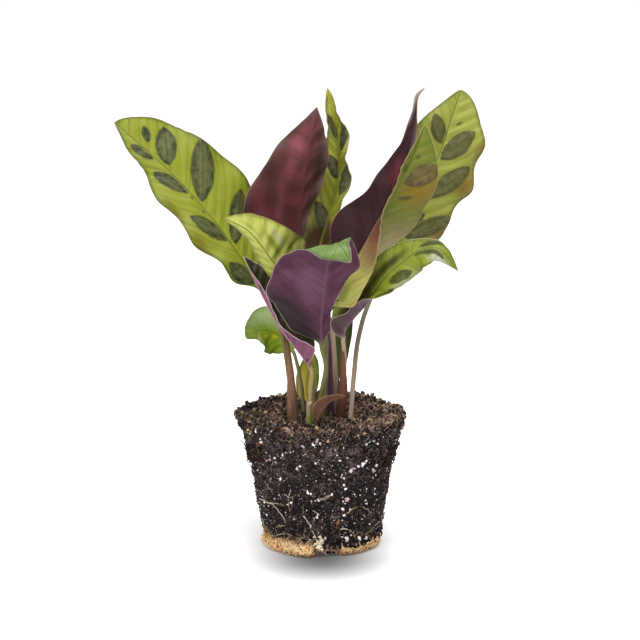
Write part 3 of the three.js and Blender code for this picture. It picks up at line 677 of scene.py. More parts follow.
def leaf_shape(leaf, patches=None, tints=(), pleat=PLAIN_PLEAT, grid=LARGE, seed=1.0):
    """A leaf's closed skin. Across the midrib each side is an arc: it leaves the facing plane at the
    rise, bends on by the curl, and a sine waves its margin. The side is as wide as the smooth curve of
    its widths times (v/peak)^base ((1 - v)/(1 - peak))^tip, which rounds both ends. The skin's
    half-thickness is laid off both ways along the sheet's normal; near the stalk it blends from a
    round section."""
    steps, across = grid
    line, u, low, length = centre_line(leaf, steps)

    # directions: T along the line, N out of the upper side, S to its left
    T = unit(np.vstack([[[0, 0, 1]] * 2, line[3:] - line[1:-2], line[-1:] - line[-2:-1]]))
    F = smooth(leaf["facing"], u)
    N = unit(F - (F * T).sum(1, keepdims=True) * T)
    S = np.cross(N, T)

    # each side, from the midrib out: f is the share of its width w, h the wave, a and b rise and curl
    base, tip = leaf["outline"]
    peak, v = base / (base + tip), np.clip(u, 1e-6, 1 - 1e-6)
    rounded = (v / peak) ** base * ((1 - v) / (1 - peak)) ** tip
    ends = np.clip(np.minimum(u / 0.12, (1 - u) / 0.15), 0, 1)[:, None]
    least = np.where(u > 0.5, 0.25, leaf["radius"][1])
    x_side, sheet, wide, exact = [], [], [], []
    for sign, k in ((1, 0), (-1, 1)):
        w = np.maximum(smooth(leaf["width"][k], u)[:, 0] * rounded, least)[:, None]
        opened = np.clip((np.maximum(w, 0.7) - 0.4) / 2.4, 0, 1) * (0.5 + 0.5 * ease(u / 0.1))[:, None]
        f = (np.arange(across + 1) / across)[None, :] ** 0.9
        a, b = (opened * np.radians(smooth(leaf[key][k], u)) for key in ("rise", "curl"))
        depth, count, phase = leaf["wave"][k]
        h = depth * f**2 * np.sin(2 * np.pi * (count * u[:, None] + phase)) * ends
        chord, lean = w * f * np.sinc(b * f / 2 / np.pi), a + b * f
        across_n = chord * np.cos(a + b * f / 2) - h * np.sin(lean)
        along_n = chord * np.sin(a + b * f / 2) + h * np.cos(lean)
        moved = sign * across_n[..., None] * S[:, None]
        sheet.append(line[:, None] + moved + along_n[..., None] * N[:, None])
        exact.append(np.cos(lean)[..., None] * N[:, None] - sign * np.sin(lean)[..., None] * S[:, None])
        x_side.append(sign * w * f)
        wide.append(w * np.ones_like(f))
    join = lambda pair: np.concatenate([pair[0][:, ::-1], pair[1][:, 1:]], 1)
    sheet, x, w, exact = join(sheet), join(x_side), join(wide), join(exact)
    y = np.repeat((u * length)[:, None], x.shape[1], 1)
    is_stalk = (np.arange(len(line)) < low)[:, None]
    widest = [max(5.0, max(leaf["width"][0])), max(5.0, max(leaf["width"][1]))]
    run = np.abs(x) / np.where(x > 0, widest[0], widest[1])
    place = np.stack([x, y, np.full_like(x, 31 * seed)], -1)
    vein = y - 0.2 * length * run * (1 + 0.35 * run) + 1.2 * noise(place / 24, seed + 5)

    # the quilted, slightly uneven sheet
    step_y = np.gradient(sheet, axis=0)
    step_x = -np.gradient(sheet, axis=1)
    normal = unit(np.cross(step_y, step_x))
    trust = ease(((normal * exact).sum(-1) - 0.1) / 0.4)[..., None]
    normal = unit(exact + (normal - exact) * trust)
    normal = np.where((is_stalk | (w < 1.2))[..., None], N[:, None], normal)
    inside, patch_off = dark_patches(x, y, usual_patches(leaf, length) if patches is None else patches)
    off = np.clip(np.abs(x) / 3, 0, 1) * np.clip(w / 8, 0, 1) * ends
    uneven = 0.8 + 0.6 * noise(place / 26, seed + 7)
    quilt = pleat[0] * np.sin(2 * np.pi * vein / pleat[1]) * off * (1.1 - 0.75 * run) * uneven
    quilt = quilt + 0.3 * ease(inside / 2.5) * off
    swell = 0.8 * noise(place / 15, seed) * off
    swell = swell + 0.35 * noise(place / 6, seed + 3) * off * (np.abs(x) / w) ** 3
    sheet = sheet + ((quilt + swell) * (np.abs(x) / w > 0.02))[..., None] * normal

    # both faces, and the round stalk they grow from
    turned = np.where(is_stalk, 0, ease(u / 0.12)[:, None])[..., None]
    half = THICK / 2 * np.where(np.abs(x) / w > 0.97, 0.6, 1.0)
    rib = np.exp(-((x / 1.1) ** 2)) * np.clip(1.15 - u, 0, 1)[:, None] * (w > 1.5)
    columns = x.shape[1]
    around = np.pi * (np.arange(columns) + 0.5) / columns
    share = np.clip((np.arange(len(line)) - 1) / (low - 1), 0, 1)[:, None]
    r = leaf["radius"][0] + (leaf["radius"][1] - leaf["radius"][0]) * share
    r = r * (1 + 0.05 * noise(np.stack([around * 3 + 0 * r, y / 9 + share * 14, 0 * y + seed], -1)))
    aside = line[:, None] + (r * np.cos(around))[..., None] * S[:, None]
    outward = (r * np.sin(around))[..., None] * N[:, None]
    disc = lambda sign: aside + sign * outward
    top = disc(1) * (1 - turned) + (sheet + (half - GROOVE * rib)[..., None] * normal) * turned
    under = disc(-1) * (1 - turned) + (sheet - (half + RIDGE * rib)[..., None] * normal) * turned

    # what the finish reads
    tint = np.zeros_like(x)
    for tx, ty, rx, ry, strength, shear in tints:
        tint = tint + strength * ease(1.2 - np.hypot((x - tx) / rx, (y - ty - shear * (x - tx)) / ry))
    tint = np.clip(tint, -1, 1)
    stalk_share = np.where(is_stalk, 1.0, 1 - ease(u / 0.07)[:, None]) + 0 * x
    edge = np.minimum(w - np.abs(x), (1 - u)[:, None] * length * 0.6)
    both = lambda front, back: np.concatenate([front, back[:, ::-1]], 1)
    marks = np.stack([np.where(is_stalk, -9, inside), edge, stalk_share], -1)
    lines = np.stack([vein, patch_off, tint], -1)
    grown = [share * np.ones_like(x), np.repeat(u[:, None], columns, 1), around[None] / np.pi + 0 * x]
    grows = np.stack(grown, -1)
    along_leaf = np.where(is_stalk, share * 60 - 60, y)
    faces = [np.stack([x, along_leaf, np.full_like(x, s)], -1) for s in (1.0, 0.0)]
    values = {"marks": marks, "lines": lines, "grows": grows}
    values = {key: both(value, value) for key, value in values.items()}
    return capped(both(top, under), {"place": both(*faces), **values})


trial = leaf_shape(LEAVES[0], [])
print("a large leaf:", len(trial[1]), "triangles")

# %% [markdown]
# ## The leaf finish
# Seen close, the upper side is fresh green drawn in fine lines along the side veins, darker towards
# the margin, with sharp dark ovals that have a painted grey sheen in the middle and one dark vein.
# Painted shade darkens the valleys of the quilting above, and a painted highlight lies on its ridges
# below. The underside is wine red with paler veins, and a painted highlight runs as a thin pale line
# all round the margin. One recipe serves all leaves; each leaf brings its own colours, measured on
# the photograph.


# %% The recipe of a leaf
LEAF_SHARE, LEAF_SHEEN = 0.46, 0.011  # see measured()


def leaf_finish(name, look, pleat):
    """A leaf's finish from its own colours. Its points keep place (across, along, face), marks (inside
    a patch, off the margin, stalk), lines (vein, off the patch's line, tint) and grows (share of the
    stalk, share of the midrib, way round the stalk)."""
    material, start = new_finish(name)
    x, y, face = kept(start, "place")
    inside, edge, stalk = kept(start, "marks")
    vein, off, tint = kept(start, "lines")
    grown, share, around = kept(start, "grows")
    colour = lambda key: measured(look[key], look.get("share", LEAF_SHARE), LEAF_SHEEN)
    side = worked(x, "ABSOLUTE")
    streak = speckle(together(vein * 0.9, side * 0.07, face * 9), 1.0, 3, 0.6)
    cloud = speckle(together(x * 0.06, y * 0.06, face * 9), 1.0, 2)
    blot = speckle(together(x * 0.24, y * 0.24, face * 9 + 4.0), 1.0, 3, 0.6)
    brush = speckle(together(vein * 0.3, side * 0.045, face * 9 + 2.0), 1.0, 2, 0.5)
    fine = worked(worked(vein * 0.62 + streak * 0.3, "FRACT") - 0.5, "ABSOLUTE")
    hair = between(fine, 0.13, 0.0)
    fold = worked(worked(vein / pleat, "FRACT") - 0.75, "ABSOLUTE")
    pleat_shade = between(fold, 0.2, 0.0)
    # a tint above zero stains or darkens; below zero (lit) it is a painted highlight or sheen
    lit, stain_and_painted_light = worked(tint * -1.0, "MAXIMUM"), worked(tint, "MAXIMUM")

    # the upper side
    upper = mixed(between(streak + cloud * 0.7, 0.55, 1.15), colour("light"), colour("pale"))
    # the fine vein lines and darker bands, and painted shade in the valleys of the quilting
    upper = mixed(hair * 0.22 + pleat_shade * 0.22 + between(brush, 0.5, 0.75) * 0.35, upper, colour("deep"))
    upper = mixed(between(edge + streak * 2.6 + blot * 2.0, 5.6, 2.2) * 0.8, upper, colour("deep"))
    # stains, and on some leaves painted shade and a painted highlight
    upper = mixed(stain_and_painted_light, upper, colour("tint"))
    # painted highlight and sheen
    upper = mixed(lit * (0.55 + blot * 0.5), upper, colour("sheen"))
    # painted sheen: the grey middle of each oval, broken up by the noise called dust
    dust = speckle(together(vein * 1.1, side * 0.3, 3.0), 1.0, 4, 0.75)
    oval_sheen = between(inside * 0.06 + dust + blot * 0.9, 0.86, 1.34)
    dark = mixed(oval_sheen * 0.9, colour("oval"), colour("oval_sheen"))
    dark = mixed(between(worked(off, "ABSOLUTE") + blot, 1.2, 0.6) * 0.6, dark, colour("oval"))
    upper = mixed(between(inside + streak * 2.4 + blot * 2.4 - 2.4, -0.9, 0.8), upper, dark)
    upper = mixed(between(side, 1.7, 0.9) * 0.45, upper, colour("pale"))
    upper = mixed(between(side, 0.75, 0.3) * 0.8, upper, colour("rib"))

    # the underside
    clouded = between(cloud + streak * 0.35 + blot * 0.3, 0.6, 1.15)
    under = mixed(clouded, colour("under"), colour("under_dark"))
    if "bands" in look:
        stops = [(place, measured(band, look["band_share"], LEAF_SHEEN)) for place, band in look["bands"]]
        under = share.node("ShaderNodeValToRGB", {"stops": stops}, {0: share + blot * 0.08 - 0.04})
    under = mixed(between(inside, -1.0, 1.0) * 0.3, under, colour("under_dark"))
    # painted highlights below
    under = mixed(lit * 0.9, under, colour("under_lit"))
    # stains below, and painted shade on some leaves
    under = mixed(stain_and_painted_light * 0.95, under, colour("under_tint"))
    under = mixed(between(brush, 0.5, 0.72) * 0.5, under, colour("under_dark"))
    dull = between(edge + blot * 6.0, 9.0, 3.0) * look.get("dull_edge", 0.0)
    under = mixed(dull, under, colour("under_edge"))
    # the fine veins below, and a painted highlight on the ridges of the quilting
    under = mixed(hair * 0.12 + between(fold, 0.05, 0.0) * 0.1, under, colour("under_vein"))
    under = mixed(between(side, 1.0, 0.5) * look.get("midrib", 0.7), under, colour("under_vein"))
    blade = mixed(between(face, 0.4, 0.6), under, upper)
    # painted highlight: a thin pale line all round the margin
    blade = mixed(between(edge, 0.75, 0.3) * 0.8, blade, colour("rim"))

    # the stalk
    thread = speckle(together(around * 7, grown * 2.2, 1.0), 1.0, 4, 0.65)
    stem = mixed(between(grown + thread * 0.5, 0.35, 1.1), colour("stalk_low"), colour("stalk_high"))
    stem = mixed(between(thread, 0.52, 0.75) * 0.55, stem, colour("stalk_streak"))
    whole = mixed(stalk, blade, stem)
    grit = speckle(together(x, y, face * 5), 1.6, 2)
    height = hair * -0.05 + streak * 0.06 + grit * 0.035 + stalk * thread * 0.12
    rough = look.get("rough", 0.4) + (1.0 - streak) * 0.16 + (1.0 - between(face, 0.4, 0.6)) * 0.08
    scatter = {"Subsurface Weight": 0.12, "Subsurface Scale": 0.0012, "Subsurface Radius": (1.0, 0.8, 0.3)}
    close_finish(start, whole, rough, height, {**scatter, "Specular IOR Level": 0.2})
    return material


print("leaf green is taken as", np.round(measured((160, 170, 55), LEAF_SHARE, LEAF_SHEEN)[:3], 3))

# %% Colours measured on the photograph, leaf by leaf
# "tint" and "under_tint" colour a tinted place: a stain on most leaves, painted shade on some and a
# painted highlight on one. "under_edge" stains the underside towards the margin, "sheen" and
# "under_lit" are painted highlights, and "bands" run along an underside from the base. "share",
# "dull_edge", "midrib" and "rough" are plain numbers.
GREEN = {
    "light": (160, 170, 55), "pale": (180, 186, 74), "deep": (92, 108, 40), "tint": (128, 96, 48),
    "oval": (52, 62, 34), "oval_sheen": (106, 112, 76), "rib": (112, 128, 50), "rim": (150, 132, 88),
    "under": (116, 66, 84), "under_dark": (70, 44, 52), "under_vein": (150, 104, 118),
    "under_tint": (60, 42, 44), "under_lit": (150, 100, 112), "under_edge": (86, 70, 60),
    "sheen": (190, 198, 160), "stalk_low": (176, 142, 112), "stalk_high": (152, 148, 92),
    "stalk_streak": (126, 98, 74),
}
MAROON = {
    **GREEN, "light": (98, 106, 52), "pale": (118, 122, 62), "deep": (58, 64, 34), "rim": (186, 138, 114),
    "under": (104, 54, 60), "under_dark": (66, 40, 42), "under_vein": (132, 84, 84),
}
LOOKS = {
    "leaf_left_large": {
        **GREEN, "oval": (62, 72, 38), "oval_sheen": (128, 132, 86), "stalk_low": (140, 104, 78),
        "stalk_high": (150, 142, 84),
    },
    # its "under_tint" is painted shade and its "under_lit" a painted highlight
    "leaf_centre_maroon": {
        **MAROON, "share": 0.56, "under": (114, 60, 66), "under_dark": (86, 60, 54),
        "under_vein": (116, 70, 74), "under_tint": (56, 38, 40), "under_lit": (150, 84, 98),
        "under_edge": (96, 78, 68), "dull_edge": 0.85, "midrib": 0.35, "rim": (150, 112, 92),
    },
    "leaf_centre_folded": {
        **GREEN, "share": 1.0, "sheen": (132, 140, 122), "light": (146, 150, 50), "pale": (160, 162, 76),
        "deep": (82, 82, 40), "oval": (58, 58, 34), "oval_sheen": (104, 104, 82), "rib": (124, 128, 52),
        "tint": (72, 56, 36),
    },
    "leaf_right_maroon": {
        **MAROON, "share": 0.56, "midrib": 0.3, "under": (72, 44, 50), "under_dark": (54, 36, 40),
        "under_vein": (92, 58, 62), "under_tint": (122, 58, 62), "under_lit": (206, 204, 186),
        "stalk_low": (146, 106, 128), "stalk_high": (120, 84, 104), "stalk_streak": (98, 68, 86),
    },
    "leaf_right_cupped": {
        **GREEN, "sheen": (206, 182, 128), "under_lit": (176, 172, 98), "deep": (98, 134, 38),
        "light": (130, 142, 56), "pale": (150, 152, 70), "oval": (102, 92, 56), "oval_sheen": (140, 124, 82),
        "tint": (160, 134, 52), "rim": (206, 176, 130), "under_dark": (150, 120, 70),
        "under_vein": (190, 180, 120), "stalk_low": (206, 172, 150), "stalk_high": (216, 190, 156),
        "stalk_streak": (186, 150, 128), "band_share": 0.62,
        "bands": [
            (0.0, (150, 146, 80)), (0.1, (178, 178, 100)), (0.24, (184, 182, 100)),
            (0.33, (156, 130, 88)), (0.41, (124, 82, 70)), (0.55, (96, 52, 52)), (1.0, (90, 48, 50)),
        ],
    },
    "leaf_right_large": {
        **GREEN, "light": (166, 172, 72), "pale": (180, 184, 90), "oval": (84, 86, 50),
        "oval_sheen": (124, 124, 76), "tint": (136, 104, 50), "share": 0.52, "stalk_low": (184, 160, 138),
        "stalk_high": (132, 128, 100), "stalk_streak": (146, 120, 104),
    },
    "leaf_front_light": {
        **GREEN, "share": 0.58, "light": (190, 194, 90), "pale": (208, 208, 116), "deep": (128, 142, 54),
        "tint": (128, 146, 48), "stalk_low": (150, 144, 90),
    },
    # its "tint" is a painted highlight on the folded tip, its "under_tint" painted shade and its
    # "under_lit" a painted highlight
    "leaf_front_purple": {
        **MAROON, "light": (126, 156, 76), "pale": (156, 180, 112), "deep": (70, 112, 70),
        "tint": (196, 204, 168), "oval": (60, 92, 62), "rim": (190, 168, 172), "under": (120, 76, 100),
        "under_dark": (86, 48, 66), "under_vein": (140, 100, 122), "under_tint": (58, 32, 40),
        "under_lit": (140, 100, 124), "midrib": 0.5, "stalk_low": (150, 146, 92),
        "stalk_high": (136, 140, 88), "stalk_streak": (126, 118, 76),
    },
    # its upper side is coloured near black: painted shade, as it lies in the shade of the front leaves
    "leaf_left_shaded": {
        **GREEN, "light": (56, 54, 32), "pale": (66, 66, 40), "deep": (42, 42, 26), "oval": (44, 44, 28),
        "oval_sheen": (62, 62, 44), "under": (160, 106, 134), "under_tint": (112, 54, 88),
        "under_dark": (104, 54, 80), "under_vein": (184, 144, 166), "rim": (214, 190, 190), "share": 0.6,
        "stalk_low": (190, 172, 116), "stalk_high": (176, 160, 104), "stalk_streak": (150, 132, 84),
    },
    # its "tint" is painted shade, and its "sheen" a painted sheen near the tip
    "leaf_right_drooping": {
        **GREEN, "sheen": (214, 222, 196), "light": (150, 162, 54), "pale": (170, 180, 84),
        "oval": (84, 92, 44), "oval_sheen": (112, 116, 70), "tint": (84, 80, 28), "under": (142, 112, 132),
        "under_dark": (104, 74, 94), "rim": (206, 196, 150), "under_tint": (84, 72, 44),
        "stalk_low": (200, 172, 150), "stalk_high": (210, 184, 160), "stalk_streak": (180, 150, 130),
    },
    "leaf_low_green": {
        **GREEN, "sheen": (168, 188, 132), "light": (124, 152, 24), "pale": (150, 172, 50),
        "deep": (84, 124, 28), "tint": (196, 188, 40), "share": 0.56, "stalk_low": (136, 140, 92),
        "stalk_high": (140, 144, 92), "stalk_streak": (112, 116, 80),
    },
    "leaf_low_yellow": {
        **GREEN, "light": (110, 150, 30), "pale": (214, 192, 90), "deep": (66, 112, 26),
        "tint": (232, 196, 92), "share": 0.6,
    },
    "leaf_low_dark": {**GREEN, "light": (86, 100, 40), "pale": (100, 112, 48), "deep": (62, 76, 34)},
    "bract_dry": {
        **GREEN, "light": (140, 102, 82), "pale": (162, 122, 98), "deep": (104, 72, 58),
        "tint": (120, 84, 66), "rib": (120, 84, 68), "rim": (186, 152, 120), "under": (150, 110, 88),
        "under_dark": (112, 76, 62), "under_vein": (172, 132, 106), "stalk_low": (120, 86, 68),
        "stalk_high": (136, 102, 80), "rough": 0.62,
    },
}
print(len(LOOKS), "sets of leaf colours")

# %% Dark patches and tinted places that show on the photograph
# a patch: from (across, along) by the midrib to (across, along) by the margin, and its half-width,
# in mm. A leaf that isn't in the table gets the usual patches, and one with an empty list gets none.
PATCHES = {
    "leaf_left_large": [
        (-5, 129, -11, 139, 2.7), (-2.5, 109, -20, 129, 7.0), (-2, 76, -31, 106, 8.0),
        (-2, 40, -29, 66, 6.6), (1.5, 119, 4.5, 137, 3.6), (1.5, 86, 9, 113, 4.6), (1, 45, 12, 74, 5.2),
        (3, 10, 11, 33, 5.8), (1.4, 68, 2.6, 72, 0.8), (1.2, 81, 1.6, 84, 0.7),
    ],
    "leaf_right_large": [
        (0.8, 81, 12, 99, 5.2), (-2, 71, -18, 96, 6.4), (-4.5, 96, -8, 100, 0.9), (-4, 43, -23, 74, 6.2),
        (3, 58, 16, 80, 6.0), (3, 30, 14, 52, 5.5), (-1, 23, -7, 33, 3.4), (-2, 12, -24, 38, 5.8),
    ],
    "leaf_centre_folded": [
        (-1, 100, 6, 119, 3.8), (0.5, 73, 11, 91, 5.4), (-4, 92, -9, 113, 2.7), (-4, 62, -9, 83, 4.3),
        (-3, 34, 15, 55, 5.5),
    ],
    "leaf_right_cupped": [
        (-3, 101, -20, 120, 6.7), (-2.5, 119, -5, 122, 1.0), (4, 107, 1.5, 113, 2.4),
        (-4, 90, -14, 96, 1.4),
    ],
    "leaf_right_drooping": [
        (2, 84, 4, 98, 1.8), (-2, 95, -3, 102, 1.0), (-1.5, 79, -4, 105, 2.0), (-6, 53, -9, 72, 4.0),
        (-10, 40, -13, 54, 1.9),
    ],
    "leaf_left_shaded": [], "leaf_low_green": [], "leaf_front_light": [], "leaf_front_purple": [],
    "leaf_low_dark": [], "leaf_low_yellow": [], "bract_dry": [],
}
# a tinted place: across, along, its two radii in mm, how strong it is (above zero: a stain on most
# leaves, painted shade on some and a painted highlight on one; below zero: painted highlight and
# sheen), and how much it leans
TINTS = {
    "leaf_left_large": [
        (19, 44, 4, 26, 0.5, 0), (17, 84, 3, 16, 0.4, 0), (-38, 62, 5, 10, 0.7, 0),
        (-33, 30, 8, 20, 0.35, 0), (-14, 90, 5, 10, -0.25, -0.6),
    ],
    # the first is painted shade over the dark half of the underside; those below zero are painted
    # highlights
    "leaf_centre_maroon": [
        (10, 50, 8, 60, 0.9, 0), (-8, 72, 7, 20, -0.9, 0.3), (-13, 52, 6, 12, -0.45, 0.6),
        (-30, 26, 10, 9, -0.5, 0), (-16, 30, 4, 14, -0.5, 0.8), (-24, 44, 5, 16, 0.4, 0.6),
    ],
    "leaf_centre_folded": [
        (0, 26, 22, 22, 1.3, 0), (6, 134, 8, 16, 0.7, 0), (8, 82, 4, 10, -0.6, 0),
        (8, 106, 4, 8, -0.5, 0), (-10, 104, 3, 10, -0.7, 0), (-11, 72, 3, 12, -0.6, 0),
    ],
    "leaf_right_large": [
        (-24, 62, 8, 14, 0.8, 0), (-26, 84, 5, 12, 0.6, 0), (-22, 26, 14, 16, 0.7, 0),
        (18, 40, 6, 30, 0.5, 0), (22, 70, 5, 20, 0.5, 0),
    ],
    "leaf_front_light": [
        (-7, 36, 2.6, 12, 0.9, -0.9), (-15, 24, 2.2, 9, 0.6, -0.9), (-3, 54, 1.6, 7, 0.5, -0.8),
        (-12, 38, 2.4, 10, -0.7, -0.9),
    ],
    # the first two are a yellow stain, the last painted light: the pale glow of the lower blade
    "leaf_right_cupped": [
        (-14, 99, 17, 12, 0.95, 0), (-22, 112, 6, 14, 0.6, 0), (-30, 38, 31, 47, -1.7, 0),
    ],
    "leaf_right_maroon": [
        (4, 96, 12, 14, 1.0, 0), (6, 124, 5, 20, -0.35, 0), (-3, 152, 4.5, 22, -2.0, 0),
    ],
    # the first is painted shade over the lower left, the next two painted highlights, the last a painted
    # highlight on the folded tip
    "leaf_front_purple": [
        (-32, 0, 34, 43, 3.0, -0.12), (-10, 52, 14, 22, -0.6, 0), (-26, 56, 6, 8, -0.5, 0),
        (16, 112, 10, 5, 0.7, 0),
    ],
    "leaf_left_shaded": [(26, 0, 14, 14, 0.7, 0), (16, 18, 6, 8, -0.5, 0)],
    # above zero, painted shade beside the midrib and at the base, where other leaves shade it; below zero,
    # painted sheen
    "leaf_right_drooping": [
        (5, 58, 3.6, 24, 0.95, 0), (7, 34, 7, 14, 0.6, 0), (-8, 14, 10, 16, 0.7, 0),
        (9, 16, 9, 16, 0.8, 0), (-7, 103, 5, 15, -1.4, 0), (-12, 60, 3, 20, -0.4, 0),
    ],
    "leaf_low_green": [
        (2, 18, 2.5, 3, 0.9, 0), (4, 26, 2, 2, 0.8, 0), (-10, 20, 9, 24, -1.0, 0), (8, 33, 6, 5, -0.9, 0),
    ],
    "leaf_low_yellow": [(4, 12, 4, 16, 1.0, 0)],
}
# how deep and how long the quilting between the side veins is, in mm, where it isn't plain
PLEATS = {
    "leaf_left_large": (0.4, 9.0), "leaf_centre_maroon": (0.8, 17.0), "leaf_centre_folded": (0.5, 9.0),
    "leaf_right_maroon": (0.22, 26.0), "leaf_right_cupped": (0.35, 8.5), "leaf_right_large": (0.45, 9.5),
    "leaf_front_light": (0.55, 9.0), "leaf_front_purple": (0.85, 15.0), "leaf_right_drooping": (0.5, 9.0),
    "leaf_left_shaded": (0.35, 8.0),
}
print(sum(map(len, PATCHES.values())), "dark patches,", sum(map(len, TINTS.values())), "tinted places")

# %% Grow the leaves
for count, leaf in enumerate(LEAVES):
    name = leaf["name"]
    small = name.startswith("leaf_low") or name == "bract_dry"
    pleat = PLEATS.get(name, PLAIN_PLEAT)
    grid = SMALL if small else LARGE
    shape = leaf_shape(leaf, PATCHES.get(name), TINTS.get(name, ()), pleat, grid, seed=count + 1.0)
    put("grown_" + name, shape, leaf_finish("finish_" + name, LOOKS[name], pleat[1]), [name])

# %% [markdown]
# ## Dry sheaths and the cut stub
# Each stalk once grew out of a sheath. The old sheaths have dried to brown paper: they are open down
# one side, ribbed lengthwise, and end in a ragged point. One stalk was cut off low, and its stump
# shows a pale, slightly hollow cut. Both are made of rings round a line again.


# %% Sheaths round three stalks
SHEATH_WALL = 0.5  # mm


def sheath_shape(leaf, top, inner, opening, turn, seed):
    """A tube that is open down one side: at height z an arc of 360 - open degrees round the stalk,
    closed by an inner arc a wall nearer. The open angle grows by 3t^2 - 2t^3 with height, the top
    edge drops by 2.6 |2j - 1|^1.5 mm towards its two sides, and noise makes it ragged."""
    line, _, low, _ = centre_line(leaf, LARGE[0])
    t = np.concatenate([[-0.3], np.linspace(0, 1, 70)])[:, None]
    j = np.linspace(0, 1, 26)[None, :]
    opened = np.radians(opening[0] + (opening[1] - opening[0]) * ease(t))
    angle = np.radians(turn) + opened / 2 + (2 * np.pi - opened) * j
    where = np.stack([np.cos(angle) * 2.4, np.sin(angle) * 2.4, t * 9 + 0 * j], -1)
    risen = np.clip(t, 0, 1)
    z = PEAT_TOP + (top - PEAT_TOP) * t - 2.6 * risen**6 * np.abs(2 * j - 1) ** 1.5
    z = z + 0.7 * noise(where / 0.7, seed) * risen**8
    r = inner[0] + (inner[1] - inner[0]) * risen + 0.14 * noise(where / 1.1, seed)
    r = r + 0.09 * np.cos(angle * 17) + 0.3 * risen**5 * noise(where / 2.4, seed + 2)
    centre = np.stack([np.interp(z, line[: low + 20, 2], line[: low + 20, k]) for k in (0, 1)], -1)

    def shell(radius):
        x, y = centre[..., 0] + radius * np.cos(angle), centre[..., 1] + radius * np.sin(angle)
        return np.stack([x, y, z], -1)

    rings = np.concatenate([shell(r + SHEATH_WALL), shell(r)[:, ::-1]], 1)
    spot = np.stack([j + 0 * t, t + 0 * j, 0 * (t + j)], -1)
    return capped(rings, {"place": np.concatenate([spot + [0, 0, 1], spot[:, ::-1]], 1)})


def paper_finish(name, low, high, streak):
    """Dry papery brown: streaks run up the sheath, and its two edges are paler."""
    material, start = new_finish(name)
    j, t, outer = kept(start, "place")
    thread = speckle(together(j * 22, t * 3.0, outer), 1.0, 5, 0.7)
    blot = speckle(together(j * 4, t * 9, outer), 1.0, 3)
    body = mixed(between(t + blot * 0.5, 0.2, 1.1), measured(low), measured(high))
    body = mixed(between(thread, 0.42, 0.72) * 0.7, body, measured(streak))
    body = mixed(between(worked(j - 0.5, "ABSOLUTE"), 0.44, 0.5) * 0.6, body, measured((196, 162, 132)))
    close_finish(start, body, 0.45 + thread * 0.4, thread * 0.25)
    return material


# its stalk, the height of its top, inner radii at the foot and the top, opening in degrees at the
# foot and the top, which way it opens, and its browns: low, high and streaks
SHEATHS = {
    "sheath_left": (
        "leaf_left_large", 148, (3.3, 2.6), (70, 290), 150, (106, 74, 56), (162, 120, 88),
        (192, 150, 114),
    ),
    "sheath_right": (
        "leaf_right_drooping", 141, (2.6, 2.1), (60, 290), 60, (98, 58, 44), (136, 88, 68),
        (160, 108, 84),
    ),
    "sheath_middle": (
        "leaf_right_cupped", 118, (2.3, 2.1), (80, 290), 200, (92, 66, 50), (128, 96, 72), (150, 118, 90),
    ),
}
TABLE = {leaf["name"]: leaf for leaf in LEAVES}
for count, (name, (stalk, top, inner, opening, turn, *browns)) in enumerate(SHEATHS.items()):
    shape = sheath_shape(TABLE[stalk], top, inner, opening, turn, count + 40.0)
    put("grown_" + name, shape, paper_finish("finish_" + name, *browns), [name])


# %% The stub of a cut stalk
def stub_shape(x, y, radius, top):
    """Rings of radius r (1 + 0.06 cos(5a + 1)) up to a slanted top, then rings inwards over a shallow
    dish: at a share f of the radius, z = top + 1.2 f sin(a + 0.6) - 0.5 (1 - f^2)."""
    a = np.linspace(0, 2 * np.pi, 40, endpoint=False)[None, :]
    t = np.concatenate([np.linspace(0, 1, 22), np.ones(7)])[:, None]
    f = np.concatenate([np.ones(22), np.linspace(0.93, 0.15, 7)])[:, None]
    r = radius * f * (1 + 0.06 * np.cos(5 * a + 1)) * (1 + 0.1 * (1 - t))
    cut = (1.2 * f * np.sin(a + 0.6) - 0.5 * (1 - f**2)) * (t > 0.99)
    slant = 1.2 * np.sin(a + 0.6) * t**6 * (t < 0.99)
    z = SEAT_BOTTOM + (top - SEAT_BOTTOM) * t + cut + slant
    rings = np.stack([x + r * np.cos(a) + 0.5 * t, y + r * np.sin(a) + 0 * t, z], -1)
    return capped(rings, {"place": np.stack([np.cos(a) + 0 * t, t + 0 * a, 1 - f + 0 * a], -1)})


def stub_finish():
    """Pale green skin with faint ribs, pinkish towards the top; the cut is cream with a brown rim."""
    material, start = new_finish("finish_stub")
    side, t, cut = kept(start, "place")
    rib = speckle(together(side * 6, t * 2, 0.0), 1.0, 3)
    skin = mixed(between(t + rib * 0.3, 0.75, 1.15), measured((146, 160, 84)), measured((176, 146, 118)))
    skin = mixed(between(rib, 0.45, 0.7) * 0.5, skin, measured((186, 190, 120)))
    face = mixed(between(cut, 0.02, 0.2), measured((138, 96, 76)), measured((214, 190, 150)))
    close_finish(start, mixed(between(cut, 0.001, 0.04), skin, face), 0.4 + rib * 0.2, rib * 0.15)
    return material


stub = stub_shape(x=-8.7, y=-33.5, radius=2.0, top=106.5)
put("grown_stub", stub, stub_finish(), ["stub_cut"])

# %% [markdown]
# ## The plug of peat
# Peat keeps the shape of the nursery pot, with its lip, but its skin is all crumbs: dark hollows
# between brown lumps, white grains of perlite, curly brown fibres and a few pale roots. The lathe
# profile below is pushed out and in by rounded noise, and crumbs, grains and threads then sit on it.
# The same function says where the skin is for all of them, so nothing floats.

# %% The skin of the plug
# radius and height in mm, from the middle of the bottom out and up to the middle of the top
PLUG = [
    (0, 9.4), (20, 9.4), (37, 9.4), (40.2, 11), (42.6, 24), (44.8, 38), (46.8, 51), (47.6, 61),
    (48.4, 66.5), (50.4, 71.5), (53.0, 76.5), (54.9, 83), (55.8, 88), (54.8, 90.8), (50, 91),
    (41.5, 90.8), (21, 91), (0, 91),
]
PLUG_R, PLUG_Z = np.transpose(PLUG)
PLUG_RUN = np.concatenate([[0], np.cumsum(np.linalg.norm(np.diff(PLUG, axis=0), axis=1))])
SIDE = slice(3, 14)  # the part of the profile that the side shows
SIDE_RUN, TOP_RUN, END_RUN = PLUG_RUN[3], PLUG_RUN[13], PLUG_RUN[-1]


